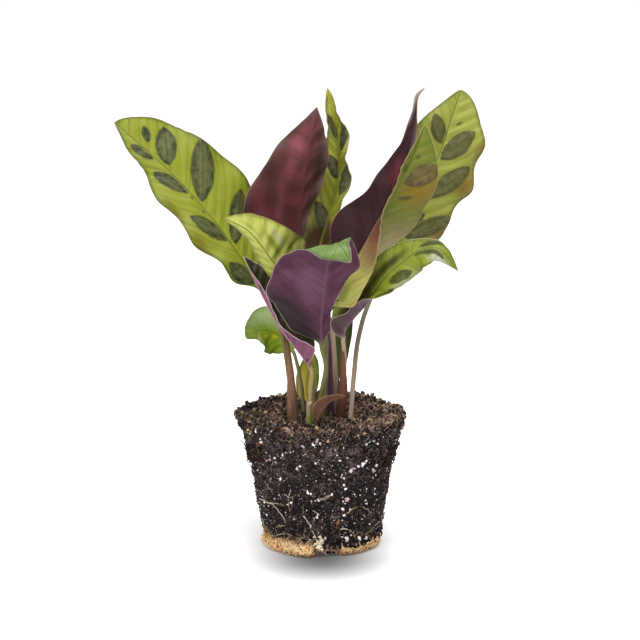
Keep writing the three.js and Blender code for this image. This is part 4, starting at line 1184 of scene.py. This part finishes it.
def plug_skin(angle, run):
    """Point, outward direction and height of the skin at an angle and a distance run along the
    profile from the middle of the bottom. The lathe point is moved along its direction by three
    sizes of clods and two of noise, more so on the loose top; the lip stands out at the left."""
    angle, run = np.broadcast_arrays(angle, run)
    r, z = (np.interp(run, PLUG_RUN, side) for side in (PLUG_R, PLUG_Z))
    left = np.exp(-(((angle % (2 * np.pi) - np.pi) / 0.42) ** 2))
    r = r + 4.6 * left * ease((z - 87) / 4) * ease((r - 40) / 14)
    before, after = ([np.interp(run + d, PLUG_RUN, side) for side in (PLUG_R, PLUG_Z)] for d in (-1.6, 1.6))
    slope = unit(np.stack([after[1] - before[1], before[0] - after[0]], -1))
    out = np.stack([slope[..., 0] * np.cos(angle), slope[..., 0] * np.sin(angle), slope[..., 1]], -1)
    base = np.stack([r * np.cos(angle), r * np.sin(angle), z], -1)
    loose = ease((z - 60) / 14)
    top = ease((z - 87) / 4)
    lumps = (1.1 + 0.8 * loose) * clods(base, 5.2, 3) + (1.0 + 0.5 * top) * clods(base, 2.5, 5)
    lumps = lumps + (0.45 + 0.3 * top) * noise(base / 1.2, 7)
    lumps = lumps + 1.5 * top * clods(base, 3.6, 17) + (0.9 + loose) * noise(base / 13, 9) * ease(r / 30)
    return base + out * lumps[..., None], out, lumps


def side_place(across, height):
    """Angle and run of the point of the side that the camera sees at x across and at a height, in
    mm."""
    r = np.interp(height, PLUG_Z[SIDE], PLUG_R[SIDE])
    angle = -np.pi / 2 + np.arcsin(np.clip(np.asarray(across) / r, -1, 1))
    return angle, np.interp(height, PLUG_Z[SIDE], PLUG_RUN[SIDE])


def grain(tone, height=0.0, kind=0.0):
    """What the finishes of peat and fibre read: a number for the colour of a grain, the height of the
    skin, and 1 for the body of the mat."""
    return np.stack(np.broadcast_arrays(tone, height, kind), -1)


around = np.linspace(0, 2 * np.pi, 400, endpoint=False)[None, :]
under, side = np.linspace(2, 36, 9), np.linspace(37, END_RUN - 42, 152)
top = np.linspace(END_RUN - 41, END_RUN - 1.5, 44)
skin, _, lumps = plug_skin(around, np.concatenate([under, side, top])[:, None])
plug = capped(skin, {"grain": grain(0.5, lumps)})
print("skin of the plug:", len(plug[1]), "triangles, lumps from", np.round([lumps.min(), lumps.max()], 1))


# %% The finish of peat
DRY_SHARE = 0.78  # the top stands in the shade of the leaves, so more of its colour is its own


def peat_finish():
    """Near-black brown in the hollows and warm brown on the lumps, partly the peat's own tones and partly
    painted shade, darker the lower the skin lies; lighter and drier on top, with fine pale specks of
    sand and perlite dust."""
    material, start = new_finish("finish_peat")
    spot = spot_in_mm(start)
    tone, height, _ = kept(start, "grain")
    x, _, z = apart(spot)
    coarse, middle = speckle(spot, 0.2, 3, 0.6), speckle(spot, 0.62, 2, 0.6)
    fine = speckle(spot, 1.9, 3, 0.7)
    # painted shade: the lower the skin (height), the darker
    light = middle * 0.9 + fine * 0.25 + coarse * 0.3 + tone * 0.3 + height * 0.13
    dark = mixed(between(light, 0.84, 1.36), measured((34, 27, 30)), measured((136, 112, 110)))
    light = light + between(x, 5.0, 40.0) * 0.12
    low, high = measured((42, 32, 28), DRY_SHARE), measured((186, 156, 134), DRY_SHARE)
    dry = mixed(between(light, 0.86, 1.3), low, high)
    body = mixed(between(z + coarse * 8 + tone * 3, 94.5, 99.5), dark, dry)
    body = mixed(between(tone, 0.88, 0.97) * 0.8, body, measured((206, 172, 132), DRY_SHARE))
    cells = {"Vector": spot + fine * 0.8, "Scale": 0.8, "Randomness": 1.0}
    dots = spot.node("ShaderNodeTexVoronoi", {"feature": "F1"}, cells)
    some = between(speckle(spot, 0.5, 1), 0.54, 0.62)
    body = mixed(between(dots, 0.34, 0.2) * some * 0.9, body, measured((226, 212, 216)))
    close_finish(start, body, 0.72 + fine * 0.25, fine * 0.5 + middle * 0.8)
    return material


PEAT = peat_finish()
put("peat_plug", plug, PEAT, ["soil_root_ball"])


# %% Small lumps strewn over a skin
def small_lump():
    """An octahedron with each face cut in four and pushed out to a sphere: 18 points and 32 faces."""
    tips = np.array([[1, 0, 0], [-1, 0, 0], [0, 1, 0], [0, -1, 0], [0, 0, 1], [0, 0, -1]], float)
    points, faces, found = list(tips), [], {}

    def middle(a, b):
        key = (min(a, b), max(a, b))
        if key not in found:
            found[key] = len(points)
            points.append((points[a] + points[b]) / np.linalg.norm(points[a] + points[b]))
        return found[key]

    corners = [(x, y, z) for x in (0, 1) for y in (2, 3) for z in (4, 5)]
    for a, b, c in [(x, y, z) if (x + y + z) % 2 == 0 else (x, z, y) for x, y, z in corners]:
        ab, bc, ca = middle(a, b), middle(b, c), middle(c, a)
        faces += [(a, ab, ca), (ab, b, bc), (ca, bc, c), (ab, bc, ca)]
    points, faces = np.array(points), np.array(faces)
    a, b, c = (points[faces[:, k]] for k in range(3))
    turned = (np.cross(b - a, c - a) * a).sum(1) < 0
    faces[turned] = faces[turned][:, ::-1]
    return points, faces


def strewn(centres, sizes, tones, rng, rough, heights=0.0):
    """One small lump at each centre, with its own three half-sizes, its own turn and a random push
    of each point."""
    ball, faces = small_lump()
    turn = np.linalg.qr(rng.normal(size=(len(centres), 3, 3)))[0]
    turn *= np.sign(np.linalg.det(turn))[:, None, None]
    pushed = ball[None] * sizes[:, None, :] * (1 + rough * rng.uniform(-1, 1, (len(centres), len(ball), 1)))
    points = centres[:, None] + pushed @ turn
    triangles = faces[None] + (np.arange(len(centres)) * len(ball))[:, None, None]
    each = np.zeros((len(centres), len(ball)))
    values = grain(tones[:, None] + each, heights + each)
    return points.reshape(-1, 3), triangles.reshape(-1, 3), {"grain": values.reshape(-1, 3)}


def spread(start, end, count):
    """Runs over the top that lie as thick by its middle as at its lip."""
    return start + (end - start) * (1 - np.sqrt(rng.uniform(0, 1, count)))


def on_plug(angle, run, raised):
    """Points that stand off the plug's skin by raised, in mm."""
    at, out, _ = plug_skin(angle, run)
    return at + out * raised[:, None]


def sides_of(size, low, high):
    """Three half-sizes for each size, each from low to high times the size."""
    return size[:, None] * rng.uniform(low, high, (len(size), 3))


ONE_TURN = 2 * np.pi
rng = np.random.default_rng(7)
count = 3600
angle = rng.uniform(0, ONE_TURN, count)
on_side = rng.random(count) < 0.62
side = rng.uniform(SIDE_RUN, TOP_RUN, count)
run = np.where(on_side, side, spread(TOP_RUN, END_RUN, count))
size = 0.45 + 1.0 * rng.random(count) ** 2.5
at = on_plug(angle, run, size * 0.25)
crumbs = strewn(at, sides_of(size, 0.6, 1.15), 0.86 * rng.random(count), rng, 0.3, 0.4)
put("peat_crumbs", crumbs, PEAT, ["soil_root_ball"])

# %% Loose crumbs, and a crust over the mat
# drier and larger crumbs on the top and at its lip
count = 3400
angle = rng.uniform(0, ONE_TURN, count)
run = TOP_RUN - 6 + (END_RUN - TOP_RUN) * (1 - np.sqrt(rng.uniform(0, 1, count)))
size = 0.5 + 1.3 * rng.random(count) ** 2.2
at = on_plug(angle, run, size * 0.55)
half_sizes, tones = sides_of(size, 0.5, 1.2), rng.random(count)
loose = strewn(at, half_sizes, tones, rng, 0.4, rng.uniform(-0.8, 1.2, count)[:, None])
put("loose_crumbs", loose, PEAT, ["soil_root_ball"])

# peat that fills the notch of the mat and crusts the upper half of its right side: a low wall far
# in, a thicker roof over it, and the crust
count = 1100
which = rng.choice(3, count, p=[0.22, 0.33, 0.45])
degrees = [rng.uniform(low, high, count) for low, high in ((-99, -69), (-99, -70), (-69, -5))]
radii = [rng.uniform(low, high, count) for low, high in ((30.8, 32.4), (34.5, 38.8), (39.6, 41.2))]
wall = rng.uniform(1.4, 5, count)
roof = 5.4 + 6.5 * rng.random(count) ** 0.8
heights = [wall, roof, 5.6 + 6 * rng.random(count) ** 0.7]
angle = np.radians(np.choose(which, degrees))
r, z = np.choose(which, radii), np.choose(which, heights)
size = rng.uniform(0.6, 1.5, count)
at = np.stack([r * np.cos(angle), r * np.sin(angle), z], -1)
half_sizes, tones = sides_of(size, 0.7, 1.2), 0.8 * rng.random(count)
crust = strewn(at, half_sizes, tones, rng, 0.35, rng.uniform(-1.0, 0.8, count)[:, None])
put("peat_crust", crust, PEAT, ["soil_root_ball"])

# %% [markdown]
# ## Perlite, roots and fibres
# The white grains are perlite, a puffed volcanic glass; on the side that shows, the larger ones sit
# where the photograph has them, and the rest are strewn at random. The roots lie flat on the skin,
# because the pot pressed them there. Curly fibres lie everywhere, and ragged ones stick out where the
# lip was torn.

# %% White grains
# across, height and half-size in mm, on the side that is seen
GRAINS = [
    (-12, 82, 1.0), (-5, 83, 1.1), (30, 81, 1.1), (33, 81, 0.7), (36, 81.5, 0.6), (-48, 84, 1.5),
    (-26, 73, 1.0), (-34, 68, 1.0), (-31, 70, 0.9), (-16, 64, 1.0), (-14, 66, 0.7), (-4, 69, 0.8),
    (12, 71, 1.0), (19, 62, 1.1), (21, 64, 0.8), (35, 59, 1.2), (37, 62, 1.1), (38, 79, 0.6),
    (5, 57, 0.6), (13, 58, 0.9), (13.5, 60, 0.7), (16, 49, 0.9), (15, 52, 0.7), (-9, 47, 0.9),
    (-7, 46.5, 0.7), (7, 46, 1.3), (4.6, 44.5, 0.9), (-2, 42, 1.2), (-4, 41.5, 0.8), (17, 41, 1.3),
    (14.6, 40.4, 0.9), (26, 43, 0.8), (30, 38, 0.7), (14, 35, 0.9), (19, 34, 1.0), (15, 30, 0.9),
    (-3, 29, 0.9), (-5, 28, 0.6), (27, 25, 0.8), (29, 27, 0.6), (14, 14, 0.8), (21, 10, 1.1),
    (29, 7.5, 1.3), (-27, 55, 1.0), (-25, 54, 0.6), (17, 12.5, 1.5), (20, 14.5, 1.2), (25, 10, 1.4),
    (29, 11, 1.0), (22, 17, 0.9), (-44, 87, 1.2), (-40, 80, 1.3), (-41, 82, 0.9), (-3, 86, 1.0),
    (-1, 83.5, 0.8), (24, 65, 1.2), (27, 66, 1.3), (30, 67, 1.1), (-38, 34, 0.7), (-36, 32, 0.6),
    (33, 71, 0.6), (10, 76, 0.5), (-20, 77, 0.5), (2, 61, 0.6),
]
spots = np.array(GRAINS)
angle_seen, run_seen = side_place(spots[:, 0], spots[:, 1])
few, many = 90, 1050
behind, all_round = rng.uniform(-0.1, np.pi + 0.1, few), rng.uniform(0, ONE_TURN, many)
angle = np.concatenate([angle_seen, behind, all_round])
behind, all_round = rng.uniform(SIDE_RUN + 2, TOP_RUN - 6, few), rng.uniform(SIDE_RUN, TOP_RUN + 3, many)
run = np.concatenate([run_seen, behind, all_round])
large, dust = rng.uniform(0.7, 1.4, few), 0.2 + 0.55 * rng.random(many) ** 2.6
size = np.concatenate([spots[:, 2] * 1.12, large, dust])
at = on_plug(angle, run, size * 0.3)
grains = strewn(at, sides_of(size, 0.5, 1.35), rng.random(len(size)), rng, 0.42)


def perlite_finish():
    """Chalky white, some grains pinkish or grey with peat dust in the pores."""
    material, start = new_finish("finish_perlite")
    spot = spot_in_mm(start)
    tone, _, _ = kept(start, "grain")
    dust = speckle(spot, 1.4, 3, 0.7)
    body = mixed(between(tone, 0.45, 0.95), measured((244, 238, 238), 1.0), measured((214, 186, 190), 0.9))
    body = mixed(between(dust + tone * 0.2, 0.55, 0.85) * 0.6, body, measured((140, 120, 120), 0.8))
    close_finish(start, body, 0.8 + dust * 0.2, dust * 0.4)
    return material


put("perlite_grains", grains, perlite_finish(), ["soil_root_ball"])


# %% Tubes along many lines at once
MEAN_RADIUS = 48  # of the plug, in mm: it makes an angle of a length


def tubes(lines, aside, radius, sides=3):
    """A tube of few sides along each of N lines of M points: at each point a ring of the given radius
    round the line, square to its direction and to the outward direction there. Both ends close in a
    point."""
    n, m = lines.shape[:2]
    forward = unit(np.gradient(lines, axis=1))
    across = unit(np.cross(aside, forward))
    up = np.cross(forward, across)
    a = 2 * np.pi * np.arange(sides) / sides
    ring = np.cos(a)[:, None] * across[:, :, None] + np.sin(a)[:, None] * up[:, :, None]
    rings = lines[:, :, None] + radius[..., None, None] * ring
    points = np.concatenate([rings.reshape(n, -1, 3), lines[:, :1], lines[:, -1:]], 1)
    j, k = np.arange(sides), (np.arange(sides) + 1) % sides
    low, top, last = m * sides, m * sides + 1, (m - 1) * sides
    first_fan = np.stack([np.full(sides, low), k, j], -1)
    last_fan = np.stack([np.full(sides, top), last + j, last + k], -1)
    one = np.concatenate([weave(m, sides), first_fan, last_fan])
    return points, one[None] + (np.arange(n) * points.shape[1])[:, None, None]


def curls(count, skin, start_angle, start_run, length, radius, lift, seed, steps=7, heading=None):
    """Thin fibres that wander over a skin: each heading turns at a steady rate plus a small random
    step, and the height over the skin is a hump of the given lift."""
    rng = np.random.default_rng(seed)
    first = rng.uniform(0, 2 * np.pi, count) if heading is None else heading + rng.normal(0, 0.35, count)
    steady = rng.normal(0, 0.28, count)[:, None] * np.arange(steps)
    turning = steady + np.cumsum(rng.normal(0, 0.25, (count, steps)), 1)
    step = (length / (steps - 1))[:, None]
    course = first[:, None] + turning
    angle = start_angle[:, None] + np.cumsum(np.cos(course) * step, 1) / MEAN_RADIUS
    run = start_run[:, None] + np.cumsum(np.sin(course) * step, 1)
    at, out, _ = skin(angle, run)
    s = np.linspace(0, 1, steps)[None]
    high = 0.25 + lift[:, None] * np.sin(np.pi * s * rng.uniform(0.5, 1.1, (count, 1)))
    lines = at + out * high[..., None]
    tapered = radius[:, None] * (0.6 + 0.7 * np.sin(np.pi * (0.15 + 0.7 * s)))
    points, triangles = tubes(lines, out, tapered)
    tone = np.repeat(rng.random(count)[:, None], points.shape[1], 1)
    return points.reshape(-1, 3), triangles.reshape(-1, 3), {"grain": grain(tone).reshape(-1, 3)}


def fibre_finish(name, dark, pale, golden, rough=0.7, share=LIGHT_SHARE):
    """Dull fibres, from dark to pale by their own number, some golden."""
    material, start = new_finish(name)
    spot = spot_in_mm(start)
    tone, _, _ = kept(start, "grain")
    blot = speckle(spot, 0.7, 3)
    body = mixed(between(tone + blot * 0.3, 0.15, 1.1), measured(dark, share), measured(pale, share))
    body = mixed(between(tone, 0.86, 0.93) * 0.8, body, measured(golden, share))
    close_finish(start, body, rough + blot * 0.2, blot * 0.2)
    return material


one = np.ones(1)
trial = curls(1, plug_skin, 0 * one, TOP_RUN * one, 5 * one, 0.1 * one, one, seed=0)
print("one fibre:", len(trial[0]), "points,", len(trial[1]), "triangles")

# %% Chips of bark, and fibres
# chips of reddish bark, a few of them where the photograph has them: across, height and half-size
CHIPS = [
    (-44, 86, 1.5), (-46, 89, 1.6), (-43, 77, 1.7), (-42, 71, 1.6), (11, 26, 2.1), (10, 22, 1.5),
    (34, 14, 1.0), (-22, 88, 1.1), (42, 80, 1.1), (37, 52, 0.9), (-30, 45, 0.8),
]
CHIP_SHAPE = [1.0, 0.9, 0.4]  # chips are flat
seen = np.array(CHIPS)
angle_seen, run_seen = side_place(seen[:, 0], seen[:, 1])
more = 90
angle = np.concatenate([angle_seen, rng.uniform(0, ONE_TURN, more)])
run = np.concatenate([run_seen, rng.uniform(TOP_RUN - 4, END_RUN - 10, more)])
size = np.concatenate([seen[:, 2], rng.uniform(0.6, 1.6, more)])
at = on_plug(angle, run, size * 0.3)
half_sizes = size[:, None] * CHIP_SHAPE * rng.uniform(0.7, 1.3, (len(size), 3))
bark = strewn(at, half_sizes, rng.random(len(size)), rng, 0.3)
reddish = fibre_finish("finish_bark", (104, 56, 46), (140, 92, 72), (176, 134, 94))
put("bark_chips", bark, reddish, ["soil_root_ball"])

# thin fibres everywhere, that stand off more on the top
count = 1700
on_top = rng.random(count) < 0.6
over_top = rng.uniform(TOP_RUN - 8, END_RUN - 8, count)
run = np.where(on_top, over_top, rng.uniform(SIDE_RUN + 3, TOP_RUN, count))
ranges = ((3, 10), (0, ONE_TURN), (0.08, 0.17))
length, angle, radius = (rng.uniform(low, high, count) for low, high in ranges)
over_top = rng.uniform(0.5, 2.4, count)
lift = np.where(on_top, over_top, rng.uniform(0.05, 0.5, count))
fibres = curls(count, plug_skin, angle, run, length, radius, lift, 21)
pale_brown = fibre_finish("finish_fibre", (70, 54, 46), (178, 148, 120), (210, 182, 136))
put("peat_fibres", fibres, pale_brown, ["soil_root_ball"])

# ragged tufts of dark fibre where the lip was torn: at the left, at the right and twice in front
count = 520
torn = rng.choice(4, count, p=[0.3, 0.3, 0.2, 0.2])
angle = np.choose(torn, [np.pi + 0.1, 0.02, -2.75, -0.35]) + rng.normal(0, 0.16, count)
height = np.choose(torn, [65, 66, 68, 64]) + rng.normal(0, 1.6, count)
run = np.interp(height, PLUG_Z[SIDE], PLUG_RUN[SIDE])
length, radius, lift = (rng.uniform(low, high, count) for low, high in ((3, 7), (0.12, 0.3), (0.6, 3.2)))
torn_fibres = curls(count, plug_skin, angle, run, length, radius, lift, 23)
dark_brown = fibre_finish("finish_torn", (30, 24, 24), (84, 66, 60), (150, 120, 90))
put("torn_fibres", torn_fibres, dark_brown, ["soil_root_ball"])

# %% Roots pressed flat against the plug
# across and height in mm, on the side that is seen, and the radius of each at its thick end
ROOTS = [
    [(-41, 35), (-34, 35), (-29, 31), (-25, 27), (-24, 23)], [(-34, 35), (-30, 36), (-25, 36)],
    [(-21, 47), (-22, 42), (-22, 36), (-21, 32)], [(-25, 44), (-21, 42), (-17, 45)],
    [(-12, 30), (-9, 26), (-6, 20), (-3, 12)], [(12, 20), (17, 20), (21, 16), (23, 11), (24, 5)],
    [(42, 22), (37, 18), (31, 14), (27, 9), (24, 5)], [(42, 13), (36, 14), (31, 8)],
    [(-38, 50), (-35, 47), (-32, 46)], [(28, 34), (32, 30), (33, 26)], [(-30, 18), (-28, 20), (-24, 21)],
    [(-6, 34), (-3, 32), (-1, 31)], [(-41, 18), (-39, 16), (-37, 12)], [(44, 72), (41, 66), (39, 61)],
    [(6, 46), (1, 43.5), (-3, 42)], [(-3, 42), (2, 42.6), (6, 45)],
    [(-33, 8), (-30, 12), (-24, 15), (-20, 14)], [(17, 31), (20, 34), (24, 35)],
]
ROOT_RADII = [
    0.5, 0.3, 0.42, 0.3, 0.55, 0.42, 0.45, 0.32, 0.28, 0.36, 0.32, 0.3, 0.3, 0.25, 0.5, 0.4, 0.32, 0.3,
]
ROOT_STEPS = np.linspace(0, 1, 26)
BACK_ROOTS = 22


def back_root(angle, run):
    """Angles and runs of a short root behind, that wanders up the side."""
    second = (angle + rng.normal(0, 0.12), run + rng.uniform(3, 9))
    third = (angle + rng.normal(0, 0.25), run + rng.uniform(8, 22))
    return smooth([(angle, run), second, third], ROOT_STEPS)


paths = np.array([smooth(p, ROOT_STEPS) for p in ROOTS])
place = np.stack([paths[..., 0] / 2.2, paths[..., 1] / 2.2, paths[..., 0] * 0], -1)
paths = paths + 0.35 * noise(place, 3)[..., None]
angle, run = side_place(paths[..., 0], paths[..., 1])
start_angle = rng.uniform(0.35, np.pi - 0.35, BACK_ROOTS)
start_run = rng.uniform(SIDE_RUN, SIDE_RUN + 40, BACK_ROOTS)
back = np.array([back_root(a, r) for a, r in zip(start_angle, start_run)])
angle, run = np.concatenate([angle, back[..., 0]]), np.concatenate([run, back[..., 1]])
at, out, _ = plug_skin(angle, run)
thick = np.concatenate([ROOT_RADII, rng.uniform(0.22, 0.5, BACK_ROOTS)])
place = np.stack([ROOT_STEPS * 9 + 0 * angle, angle * 0 + thick[:, None] * 40, 0 * angle], -1)
radius = thick[:, None] * (1 - 0.55 * ROOT_STEPS) * (1 + 0.15 * noise(place))
out_of_skin = at + out * (0.45 + radius)[..., None]
eased = out_of_skin.copy()
eased[:, 1:-1] = (out_of_skin[:, :-2] + out_of_skin[:, 1:-1] + out_of_skin[:, 2:]) / 3
points, triangles = tubes(eased, out, radius, 8)
tone = np.repeat(rng.random(len(thick))[:, None], points.shape[1], 1)
roots = points.reshape(-1, 3), triangles.reshape(-1, 3), {"grain": grain(tone).reshape(-1, 3)}
cream = fibre_finish("finish_root", (156, 138, 124), (210, 196, 174), (206, 176, 124), 0.6, 0.72)
put("pale_roots", roots, cream, ["soil_root_ball"])

# %% [markdown]
# ## The mat of root fibre
# Below the peat the roots met the bottom of the pot and went round and round it. They make a felted,
# orange-tan mat with gaps where the holes of the pot were. A lumpy ring gives its body, and over a
# thousand strands lie along it. A cream clump stands beside the notch in front, a fringe lies in
# that notch, and tufts reach up over the peat.

# %% The skin of the mat
# direction and half-width of each notch in degrees, and its depth in mm
NOTCHES = [(-84, 12.5, 9), (5, 11, 7), (92, 12, 8), (178, 11, 7)]
MAT_RIM, MAT_FLAT = 39.6, 33.0  # radius of its rim, and the run at which its underside ends, in mm
SWELL_AT, SWELL_HALF, SWELL = -108, 24, 3.0  # it stands out at the front left: degrees, degrees, mm


def apart_by(turn, where):
    """Degrees from one direction to another, from -180 to 180."""
    return (turn - where + 180) % 360 - 180


def mat_skin(angle, run):
    """Point, outward direction and height on the mat: run goes from 0 under its middle, out to the
    rim and up its side. The rim is a circle less a soft step at each notch, it stands out at the
    front left, more so low down, and noise makes it lumpy."""
    angle, run = np.broadcast_arrays(angle, run)
    turn = np.degrees(angle)
    front = np.exp(-((apart_by(turn, SWELL_AT) / SWELL_HALF) ** 2))
    uneven = 0.9 * noise(np.stack([np.cos(angle) * 5, np.sin(angle) * 5, 0 * angle], -1), 11)
    rim = MAT_RIM + SWELL * front + uneven
    for where, half, depth in NOTCHES:
        rim = rim - depth * ease((half + 3.5 - np.abs(apart_by(turn, where))) / 7)
    flat = MAT_FLAT
    share = np.clip(run / flat, 0, 1)
    up = np.clip(run - flat, 0, None)
    bulge = np.sin(np.clip(up / 9, 0, 1) * np.pi) - 0.8 * ease(1 - up / 1.8) - 2.2 * front * ease(up / 9)
    r = np.where(run < flat, (rim - 0.8) * share, rim + bulge)
    z = np.where(run < flat, 0.25, 0.25 + up)
    on_side = run >= flat
    down = -1.0 * (run < flat) + 0.001
    out = unit(np.stack([np.cos(angle) * on_side, np.sin(angle) * on_side, down], -1))
    base = np.stack([r * np.cos(angle), r * np.sin(angle), z], -1)
    lumps = (0.9 * clods(base, 3.1, 13) + 0.35 * clods(base, 1.2, 15)) * (run > flat - 3)
    return base + out * lumps[..., None] * np.where(run < flat, 0.1, 1.0)[..., None], out, lumps


around = np.linspace(0, ONE_TURN, 420, endpoint=False)[None, :]
runs = np.concatenate([[2.0, 12, 22, 29], np.linspace(MAT_FLAT, 41.6, 18)])[:, None]
skin, _, lumps = mat_skin(around, runs)
body = capped(skin, {"grain": grain(0.45, lumps, 1.0)})
print("skin of the mat:", len(body[1]), "triangles, lumps from", np.round([lumps.min(), lumps.max()], 1))

# %% The finish of the mat, its body and its strands
MAT_SHARE = 1.0  # the mat stands in the shade of the plug, so all of its colour is its own


def mat_finish():
    """Felted tan to orange-brown fibre with dark pits, partly painted shade, darker where its skin lies
    low, and peat dust rubbed in near the top.
    """
    material, start = new_finish("finish_mat")
    spot = spot_in_mm(start)
    tone, height, kind = kept(start, "grain")
    coarse, fine = speckle(spot, 0.3, 3, 0.6), speckle(spot, 1.3, 4, 0.7)
    light = between(tone + coarse * 0.6 + height * 0.2, 0.35, 1.15)
    body = mixed(light, measured((216, 164, 104), MAT_SHARE), measured((250, 226, 180), MAT_SHARE))
    body = mixed(between(tone, 0.8, 0.92) * 0.8, body, measured((222, 140, 72), MAT_SHARE))
    # painted shade: the body is darker where its skin lies low, in the pits
    body = mixed(kind * between(height, 1.1, -0.1) * 0.9, body, measured((126, 76, 44), MAT_SHARE))
    body = mixed(between(fine + height * 0.3, 0.4, 0.24) * 0.6, body, measured((112, 66, 40), MAT_SHARE))
    body = mixed(between(apart(spot)[2] + coarse * 6, 10.5, 14.0) * 0.6, body, measured((96, 74, 58)))
    close_finish(start, body, 0.75 + fine * 0.2, fine * 0.5)
    return material


MAT = mat_finish()
put("mat_body", body, MAT, ["fibre_mat"])
count = 1300
ranges = ((0, ONE_TURN), (33.5, 41.5), (4, 13), (0.16, 0.36), (0.1, 1.1))
angle, run, length, radius, lift = (rng.uniform(low, high, count) for low, high in ranges)
heading = rng.choice([0.0, np.pi, 0.6, -0.6, 1.4], count)
strands = curls(count, mat_skin, angle, run, length, radius, lift, 31, 8, heading)
strand_points = strands[0]
strand_points[:, 2] = np.clip(strand_points[:, 2], 0.15, 11.5)
put("mat_strands", strands, MAT, ["fibre_mat"])

# %% A fringe in the notch, a cream clump beside it, and tufts that reach up over the peat
LEDGE_RADIUS = 38.0  # mm


def notch_ledge(angle, run):
    """A drum inside the notch; run is the height on it."""
    angle, run = np.broadcast_arrays(angle, run)
    out = np.stack([np.cos(angle), np.sin(angle), 0 * angle], -1)
    return out * LEDGE_RADIUS + np.stack([0 * run, 0 * run, run], -1), out, 0 * run


count = 46
ranges = ((-95, -73), (4.4, 5.6), (3, 7), (0.14, 0.3), (0.1, 0.8))
degrees, run, length, radius, lift = (rng.uniform(low, high, count) for low, high in ranges)
heading = rng.choice([0.0, np.pi], count)
fringe = curls(count, notch_ledge, np.radians(degrees), run, length, radius, lift, 33, 8, heading)
pinkish = fibre_finish("finish_fringe", (150, 110, 96), (214, 178, 150), (206, 160, 120), 0.7, 0.8)
put("notch_fringe", fringe, pinkish, ["fibre_mat"])

count = 70
across, deep = rng.normal(-1.2, 1.5, count), rng.normal(-40.2, 0.8, count)
clump = np.stack([across, deep, rng.uniform(5, 16, count)], -1)
lumpy = strewn(clump, rng.uniform(0.7, 1.5, (count, 3)), rng.uniform(0.5, 1.0, count), rng, 0.3)
pale_cream = fibre_finish("finish_clump", (206, 190, 154), (232, 224, 200), (214, 186, 130), 0.7, 0.95)
put("cream_clump", lumpy, pale_cream, ["fibre_mat"])

count = 100
tuft_angles = [-2.2, -2.0, -1.82, -0.9, -0.7, 0.4, 1.1, 2.0, 2.7, 3.4]
angle = rng.choice(tuft_angles, count) + rng.normal(0, 0.1, count)
length, radius, lift = (rng.uniform(low, high, count) for low, high in ((3, 8), (0.12, 0.28), (0.1, 0.7)))
up = np.pi / 2  # their heading
tufts = curls(count, plug_skin, angle, np.full(count, SIDE_RUN - 2.0), length, radius, lift, 41, 7, up)
put("mat_tufts", tufts, MAT, ["fibre_mat"])
